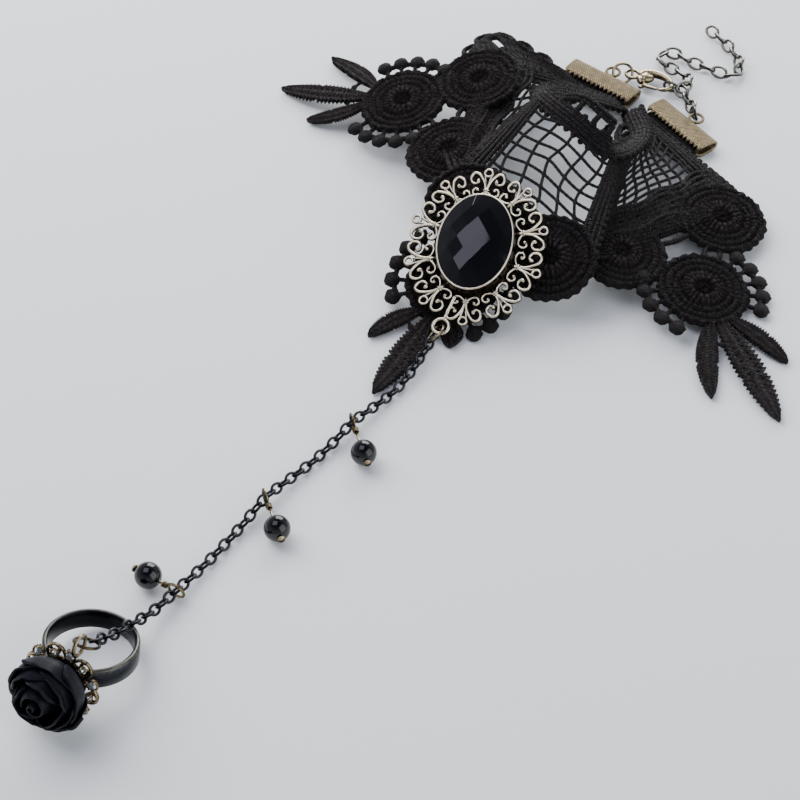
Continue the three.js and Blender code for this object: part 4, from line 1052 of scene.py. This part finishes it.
# The third column is painted light: the bezel's top lip is painted brightest and its wall and foot dark.
bezel_section = [
    (-0.22, 3.60, 0.7), (-0.12, 3.86, 1.0), (0.08, 3.93, 1.0), (0.28, 3.80, 0.9), (0.38, 3.2, 0.2),
    (0.46, 2.0, 0.1), (0.75, 1.1, 0.1), (1.15, 0.85, 0.3), (1.3, 0.5, 0.3), (1.2, 0.0, 0.1), (0.1, 0.0, 0.1),
    (0.1, 2.9, 0.1),
]
back_plate = [(0, 0.05, 0.1), (0, 0.85, 0.1)]
brass_parts = [
    swept(bezel_section, 112, (stone_width / 2, stone_length / 2)),
    swept(back_plate, 72, (10.0, 13.4), closed=False),
]
for count in range(palmette_count):
    angle = (count + 0.5) / palmette_count * 2 * math.pi + 0.02
    foot = np.array((math.cos(angle) * outer_width / 2, math.sin(angle) * outer_length / 2, 0))
    outward = unit(foot / np.array((outer_width**2, outer_length**2, 1)))
    aside = np.cross(outward, (0, 0, 1))
    place = (foot + (0, 0, scroll_level), np.array((aside, outward, (0, 0, 1))))
    step = 2 * math.pi / palmette_count * np.hypot((outer_width / 2 + 3.8) * math.sin(angle),
                                                    (outer_length / 2 + 3.8) * math.cos(angle))
    spread = min(step / palmette_width, widest_spread)
    brass_parts += [put(part, place) for part in palmette(spread)]
loop_turn = math.radians(-104)
brooch_loop_radius, brooch_loop_wire = 1.9, 0.5
loop_reach = palmette_reach + brooch_loop_radius * 0.8
brooch_loop = np.array((math.cos(loop_turn) * (outer_width / 2 + loop_reach),
                        math.sin(loop_turn) * (outer_length / 2 + loop_reach), 0.55))
brass_parts.append(shifted(wire_ring(brooch_loop_radius, brooch_loop_wire), brooch_loop))
loop_foot = spot(math.cos(loop_turn) * outer_width / 2, math.sin(loop_turn) * outer_length / 2, scroll_level)
neck_end = brooch_loop + unit(loop_foot - brooch_loop) * brooch_loop_radius
neck_line = [loop_foot, (loop_foot + neck_end) / 2 + (0, 0, 0.1), neck_end]
brass_parts.append(rope(smooth_route(neck_line, 0.4), 0.5, 9))
# Strong painted shade down the wires' sides, away from the brooch's face, and a painted highlight on the
# face.
brass = aged_and_shaded_metal("palmette_brass", (0.010, 0.007, 0.004), (0.26, 0.20, 0.11), (1.00, 0.89, 0.68), 0.24,
                   face=brooch_normal, patina_and_side_shade=0.9)
lay_at(brooch_place, "setting", brass_parts, brass, "pale_bronze", stands_for=["oval_setting"])


# The stone is moulded black glass, oval, with a chequered dome of flat lozenges over its girdle. The bezel
# holds it at the girdle.
girdle_low, girdle_high, girdle_points, dome_top = 3.3, 3.8, 32, 6.4
lozenge, dome_reach = 0.46, 0.82
back_share, back_level = 0.6, 1.25
edge_bevel = 0.06 * MM
dome_points = []
for i in range(-4, 5):
    for j in range(-4, 5):
        u, v = (i + j) * lozenge / 2, (i - j) * lozenge / 2
        reach = math.hypot(u, v)
        if reach < dome_reach:
            dome_points.append((u, v, girdle_high + (dome_top - girdle_high) * (1 - reach**2)))
for k in range(girdle_points):
    turn = 2 * math.pi * k / girdle_points
    dome_points.append((math.cos(turn), math.sin(turn), girdle_high))
    dome_points.append((math.cos(turn), math.sin(turn), girdle_low))
    if k % 2:
        dome_points.append((back_share * math.cos(turn), back_share * math.sin(turn), back_level))
dome_points = np.array(dome_points) * (stone_width / 2, stone_length / 2, 1)
stone_mesh = bpy.data.meshes.new("stone")
cut = bmesh.new()
for point in in_scene(point_in(brooch_place, dome_points)):
    cut.verts.new(point)
hull = bmesh.ops.convex_hull(cut, input=cut.verts)
hidden = [item for item in hull["geom_interior"] if isinstance(item, bmesh.types.BMVert)]
bmesh.ops.delete(cut, geom=hidden, context="VERTS")
bmesh.ops.dissolve_limit(cut, angle_limit=math.radians(1.5), verts=cut.verts, edges=cut.edges)
bmesh.ops.bevel(cut, geom=cut.edges, offset=edge_bevel, segments=1, affect="EDGES", profile=0.5)
cut.to_mesh(stone_mesh)
cut.free()
black_glass, _, glass_shader = finish_nodes("black_glass")
glass_shader.inputs["Base Color"].default_value = (0.002, 0.002, 0.003, 1)
glass_shader.inputs["Roughness"].default_value = 0.035
glass_shader.inputs["IOR"].default_value = 1.5
stone_mesh.materials.append(black_glass)
stone = bpy.data.objects.new("stone", stone_mesh)
bpy.context.scene.collection.objects.link(stone)
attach(stone, "cuff")
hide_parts("oval_stone")


# Fine cable chain of blackened wire between two open jump rings, from the setting's loop to the ring's.
jump_radius, jump_wire = 2.6, 0.35
cable_pitch, cable_length, cable_width, cable_wire = 2.3, 3.6, 2.8, 0.7
chain_route = [
    (-63.2, -99.4, 1.6), (-66.2, -103.2, 1.0), (-70.4, -107.9, 1.4), (-75.7, -113.7, 2.3),
    (-79.6, -118.4, 1.3), (-84.6, -124.4, 1.0), (-89.6, -129.7, 1.4), (-94.6, -135.6, 2.3),
    (-99.0, -141.8, 1.3), (-103.9, -148.8, 1.0), (-108.6, -155.4, 1.4), (-112.4, -160.7, 2.3),
    (-116.6, -166.6, 3.4), (-118.9, -170.0, 5.2), (-120.6, -172.6, 7.0), (-123.2, -176.6, 9.5),
]
band_outer, band_wall, band_width = 20.0, 1.1, 4.6
band_tilt, band_turn = 17, -115
band_lean = math.radians(band_tilt)
band_height = band_width / 2 * math.cos(band_lean) + band_outer / 2 * math.sin(band_lean)
band_x = heading(band_turn) * math.cos(band_lean) + spot(0, 0, math.sin(band_lean))
band_y = heading(band_turn + 90)
band_place = (spot(-128.4, -177.0, band_height), np.array((band_x, band_y, np.cross(band_x, band_y))))
flower_plate, flower_radius = 1.1, 8.8
flower_loop_local = (band_outer / 2 + flower_plate / 2 - 0.1, 3.4, flower_radius + 1.1)
flower_loop_radius, flower_loop_wire = 2.2, 0.4

ring_reach = 2 * jump_radius + jump_wire + 0.3
setting_loop = point_in(brooch_place, brooch_loop)
flower_loop = point_in(band_place, flower_loop_local)
setting_way = unit(np.array(chain_route[0]) - setting_loop)
finger_way = unit(np.array(chain_route[-1]) - flower_loop)
chain_line = smooth_route([setting_loop + setting_way * ring_reach, *chain_route,
                           flower_loop + finger_way * ring_reach], 0.05)
chain_length = np.linalg.norm(np.diff(chain_line, axis=0), axis=1).sum()
link_count = round(chain_length / cable_pitch)
cable_parts = []
cable_radius = cable_width / 2 - cable_wire / 2
cable_stretch = (cable_length / 2 - cable_wire / 2) / cable_radius
for link in range(link_count + 1):
    at_vertex = round(link / link_count * (len(chain_line) - 1))
    ahead = chain_line[min(at_vertex + 2, len(chain_line) - 1)] - chain_line[max(at_vertex - 2, 0)]
    place = lean_round_x(frame_along(chain_line[at_vertex], ahead, (0, 0, 1)), 38 if link % 2 else -47)
    cable_parts.append(put(wire_ring(cable_radius, cable_wire / 2, 22, 7, stretch=cable_stretch), place))
blackened = aged_and_shaded_metal("blackened_wire", (0.004, 0.004, 0.005), (0.013, 0.013, 0.015), (0.070, 0.070, 0.078),
                       roughness=0.30)
lay_piece("cable_chain", cable_parts, blackened, "black_metal", stands_for=["hand_chain"])

setting_ring_place = lean_round_x(
    frame_along(setting_loop + setting_way * jump_radius, setting_way, (0, 0, 1)), 50)
lay_at(setting_ring_place, "upper_jump_ring", [wire_ring(jump_radius, jump_wire)], bronze, "bronze",
       stands_for=["setting_jump_ring"])
finger_ring_side = np.cross(finger_way, band_y)
finger_ring_place = frame_along(flower_loop + finger_way * jump_radius, finger_way, finger_ring_side)
lay_at(finger_ring_place, "lower_jump_ring", [wire_ring(jump_radius, jump_wire)], bronze, "bronze",
       stands_for=["ring_jump_ring"])


# Three round beads of black glass hang from the chain, each threaded on a bronze head pin whose end is
# turned into a loop and wrapped three times round its own neck.
bead_radius, bead_bore, bead_rows = 3.0, 0.55, 28
pin_wire, pin_loop_radius, pin_loop_wire = 0.3, 1.9, 0.35
bead_places = [(3, -73.0, -123.3), (7, -91.6, -144.6), (11, -118.6, -157.2)]


def along_x(part):
    """Turns a part that was swept round the z axis, so that it stands round the x axis."""
    return np.roll(part[0], 1, axis=1), part[1], part[2]


def upright_ring(radius, wire):
    """Wire loop that stands in the plane of the x and z axes."""
    return rope(ring_line(radius, 36)[:, [0, 2, 1]], wire, 9, closed=True, top=(0, 1, 0))


for number, (route_point, east, north) in enumerate(bead_places, 1):
    loop_point = np.array(chain_route[route_point])
    bead_centre = spot(east, north, bead_radius)
    distance = np.linalg.norm(bead_centre - loop_point)
    pin_place = frame_along(loop_point, bead_centre - loop_point, (0, 0, 1))
    cut_angle = math.asin(bead_bore / bead_radius)
    lean = np.linspace(-math.pi / 2 + cut_angle, math.pi / 2 - cut_angle, bead_rows)
    along = distance + bead_radius * np.sin(lean)
    ball = along_x(swept([(radius, x, 0) for radius, x in zip(bead_radius * np.cos(lean), along)], 40))
    lay_at(pin_place, f"glass_bead_{number}", [ball], black_glass, "black_stone",
           stands_for=[f"bead_{number}"])
    head = distance + bead_radius + 0.1
    wrap_turns = np.linspace(0, 6 * math.pi, 60)
    wrap_start = pin_loop_radius + pin_loop_wire
    wrap = np.stack([wrap_start + wrap_turns / (6 * math.pi) * 1.1, 0.52 * np.cos(wrap_turns),
                     0.52 * np.sin(wrap_turns)], 1)
    pin_parts = [
        upright_ring(pin_loop_radius, pin_loop_wire),
        rope([(wrap_start - 0.3, 0, 0), (head / 2, 0, 0), (head + 0.3, 0, 0)], pin_wire, 9),
        rope(wrap, 0.24, 8, top=(1, 0, 0)),
        rope([(head, 0, 0), (head + 0.12, 0, 0), (head + 0.3, 0, 0), (head + 0.6, 0, 0), (head + 0.75, 0, 0)],
             [0.55, 0.9, 0.98, 0.8, 0.3], 16),
    ]
    lay_at(pin_place, f"head_pin_{number}", pin_parts, bronze, "bronze", stands_for=[f"bead_pin_{number}"])


# Gunmetal finger ring: a flat band with softened edges. Soldered to it is a bronze flower of wire scrolls
# whose petals carry clear stones in claw cups, with a loop for the chain.
petal_count, gem_radius, small_gem_radius = 6, 1.1, 0.8
curl_start, curl_lift = 4.7, 0.15
stone_rows = [(0, flower_radius - gem_radius - 0.2, gem_radius), (0.5, flower_radius - 2.2, small_gem_radius)]


def curled_wire():
    """One scroll of the flower: a curl of flattened wire whose bend tightens towards its ball end."""
    length, steps = 8.2, 46
    x, y, way = 0.6, 0.0, math.radians(75)
    line = []
    for step in range(steps + 1):
        line.append((x, y, 0.0))
        way -= (0.10 + 1.15 * (step / steps)**1.3) * length / steps
        x += math.cos(way) * length / steps
        y += math.sin(way) * length / steps
    swelling = 0.34 * np.array((1.0, 1.05, 0.85, 1.25, 1.2, 0.5))
    return tapered(line, [0, 0.3, 0.85, 0.93, 0.97, 1], swelling, 9, 1.25)


gunmetal = aged_and_shaded_metal("gunmetal", (0.010, 0.011, 0.012), (0.030, 0.032, 0.035), (0.15, 0.14, 0.12), 0.30)
outer, inner, half_width = band_outer / 2, band_outer / 2 - band_wall, band_width / 2
# The third column is painted light: the band's edges are painted bright and its inside darker.
hoop_section = [
    (inner + 0.25, -half_width, 0.5), (outer - 0.3, -half_width, 0.9), (outer, -half_width + 0.3, 0.9),
    (outer + 0.02, 0, 0.5), (outer, half_width - 0.3, 0.9), (outer - 0.3, half_width, 0.9),
    (inner + 0.25, half_width, 0.5), (inner, half_width - 0.25, 0.3), (inner, -half_width + 0.25, 0.3),
]
hoop = swept(hoop_section, 112)
plate_at = outer + flower_plate / 2
flower_axes = np.array(((0, 1, 0), (0, 0, 1), (1, 0, 0)), float)
flower_parts = [swept([(5.2, -0.45, 0.3), (5.4, 0.0, 0.3), (5.2, 0.45, 0.3)], 48, closed=False)]
gem_parts = []
for petal in range(petal_count):
    for half_step, reach, size in stone_rows:
        angle = (petal + 0.25 + half_step) / petal_count * 2 * math.pi
        out = np.array((math.cos(angle), math.sin(angle), 0))
        aside = np.array((-math.sin(angle), math.cos(angle), 0))
        cup = out * reach + (0, 0, 0.75)
        for level, radius in ((0.35, size * 1.12), (-0.1, size * 0.95)):
            flower_parts.append(shifted(wire_ring(radius, 0.2, 24, 7), cup + (0, 0, level - 0.2)))
        for claw in range(4):
            lean = angle + (claw + 0.5) * math.pi / 2
            way = np.array((math.cos(lean), math.sin(lean), 0))
            claw_line = [cup + way * size * 1.05 + (0, 0, -0.5), cup + way * size * 1.15 + (0, 0, 0.3),
                         cup + way * size * 0.80 + (0, 0, 0.78)]
            flower_parts.append(rope(smooth_route(claw_line, 0.2), 0.2, 7))
        gem_vertices, gem_faces = [cup + (0, 0, -0.5)], []
        for radius, level, phase in ((0.98, 0.15, 0), (0.62, 0.62, 0.5)):
            for k in range(8):
                turn = (k + phase) / 8 * 2 * math.pi
                gem_vertices.append(cup + np.array((math.cos(turn), math.sin(turn), 0)) * size * radius
                                    + (0, 0, level))
        for k in range(8):
            after = (k + 1) % 8
            gem_faces += [(0, 1 + after, 1 + k), (1 + k, 1 + after, 9 + k), (1 + after, 9 + after, 9 + k)]
        gem_faces.append(tuple(range(9, 17)))
        gem_parts.append((np.array(gem_vertices), gem_faces, np.zeros((17, 3))))
        if half_step == 0:
            for hand in (1, -1):
                vertices, faces, marks = curled_wire()
                x, y, z = (vertices * (hand, 1, 1)).T[:, :, None]
                if hand < 0:
                    faces = [face[::-1] for face in faces]
                curl = out * curl_start + x * aside + y * out + z * (0, 0, 1) + (0, 0, curl_lift)
                flower_parts.append((curl, faces, marks))
flower_place = point_in(band_place, (plate_at, 0, 0)), flower_axes @ band_place[1]
flower = [put(part, flower_place) for part in flower_parts]
flower.append(put(shifted(upright_ring(flower_loop_radius, flower_loop_wire), flower_loop_local), band_place))
lay_at(band_place, "finger_band", [hoop], gunmetal, "gunmetal", stands_for=["finger_ring"])
lay_piece("ring_flower", flower, bronze, "bronze")
clear_stone, _, clear_shader = finish_nodes("clear_stone")
clear_shader.inputs["Base Color"].default_value = (0.72, 0.76, 0.80, 1)
clear_shader.inputs["Metallic"].default_value = 0.75
clear_shader.inputs["Roughness"].default_value = 0.06
lay_at(flower_place, "ring_stones", gem_parts, clear_stone, None, smooth=False)


# Rosebud folded from black satin ribbon and glued on the flower: a rolled bud inside three rounds of broad
# petals, each tucked under the next, with their edges rolled outwards.
rose_start = band_outer / 2 + flower_plate + 0.35
cloth = 0.30


def satin_petal(middle, half_span, low_radius, belly, lip_radius, top_level, roll, seed):
    """Broad petal standing round the rose's axis, tucked in at one side and lipped at the other."""
    rows, columns = 22, 34
    share = np.linspace(0, 1, rows)[:, None]
    side = np.linspace(-1, 1, columns)[None, :]
    wave = 0.10 * np.sin(5 * side + seed) + 0.06 * np.sin(11 * side + 2 * seed)
    radius = low_radius + (belly - low_radius) * np.sin(math.pi / 2 * np.clip(share * 1.7, 0, 1)) ** 0.8
    radius = radius + (lip_radius - belly) * np.clip((share - 0.6) / 0.4, 0, 1) ** 1.5
    radius = radius + 0.55 * side * (0.3 + share) + wave * share * 1.6
    edge_drop = 0.20 * np.abs(side) ** 2.6
    level = top_level * (share ** 1.05) * (1 - edge_drop * share)
    curl = np.clip((share - 0.86) / 0.14, 0, 1)
    radius = radius + roll * np.sin(curl * math.pi * 0.8)
    level = level - roll * 0.9 * (1 - np.cos(curl * math.pi * 0.8))
    turn = math.radians(middle) + math.radians(half_span) * side * (1 - 0.25 * share ** 3)
    surface = np.stack(np.broadcast_arrays(level, radius * np.cos(turn), radius * np.sin(turn)), -1)
    return cloth_shell(surface)


def cloth_shell(surface):
    down, along = np.gradient(surface, axis=0), np.gradient(surface, axis=1)
    normal = np.cross(down, along)
    normal /= np.linalg.norm(normal, axis=2)[..., None] + 1e-9
    rows, columns = surface.shape[:2]
    marks = np.zeros((rows, columns, 3))
    marks[..., 0] = np.arange(columns)[None, :]
    marks[..., 1] = np.arange(rows)[:, None]
    marks[..., 2] = np.linspace(0, 1, rows)[:, None]
    return shell(surface - normal * cloth / 2, surface + normal * cloth / 2, marks)


rounds = [
    {"petals": 5, "first": 10, "shape": (62, 3.8, 7.7, 7.5, 7.4, 0.55), "seed": 0},
    {"petals": 4, "first": 40, "shape": (66, 3.2, 6.6, 5.9, 9.2, 0.45), "seed": 7},
    {"petals": 3, "first": 75, "shape": (72, 2.8, 5.3, 4.4, 10.2, 0.35), "seed": 13},
]
rose_parts = []
for row in rounds:
    for count in range(row["petals"]):
        middle = count * 360 / row["petals"] + row["first"]
        rose_parts.append(satin_petal(middle, *row["shape"], count + row["seed"]))
spiral = np.linspace(0, 3.1 * math.pi, 90)[None, :]
rise = np.linspace(0, 1, 16)[:, None]
spiral_radius = (0.35 + 0.40 * spiral) * (1 - 0.30 * rise ** 2.5)
spiral_level = 4.5 + (6.3 - 0.10 * spiral) * rise
bud = np.broadcast_arrays(spiral_level, spiral_radius * np.cos(spiral), spiral_radius * np.sin(spiral))
rose_parts.append(cloth_shell(np.stack(bud, -1)))
core_section = [(3.2, 0.0, 0), (5.2, 1.2, 0), (5.2, 4.0, 0), (3.4, 6.6, 0), (1.4, 8.2, 0)]
rose_parts.append(along_x(swept(core_section, 32, closed=False)))
satin, satin_tree, satin_shader = finish_nodes("black_satin")
satin_place = node(satin_tree, "ShaderNodeTexCoord").outputs["Object"]
crease = node(satin_tree, "ShaderNodeTexNoise", Scale=190.0, Detail=2.0)
satin_tree.links.new(satin_place, crease.inputs["Vector"])
satin_colour = ramp(satin_tree, crease.outputs["Fac"], [
    (0.2, (0.0025, 0.0025, 0.0048)),
    (0.8, (0.0065, 0.0070, 0.0120)),
])
satin_tree.links.new(satin_colour, satin_shader.inputs["Base Color"])
satin_shader.inputs["Roughness"].default_value = 0.50
satin_shader.inputs["Specular IOR Level"].default_value = 0.17
satin_shader.inputs["Sheen Weight"].default_value = 0.04
satin_shader.inputs["Sheen Roughness"].default_value = 0.3
satin_shader.inputs["Sheen Tint"].default_value = (0.5, 0.55, 0.8, 1)
satin_bump = node(satin_tree, "ShaderNodeBump", Strength=0.4, Distance=0.0004)
satin_tree.links.new(crease.outputs["Fac"], satin_bump.inputs["Height"])
satin_tree.links.new(satin_bump.outputs["Normal"], satin_shader.inputs["Normal"])
rose_place = (point_in(band_place, (rose_start, 0, 0)), band_place[1])
lay_at(rose_place, "rosebud", rose_parts, satin, "black_satin", stands_for=["satin_rose"])
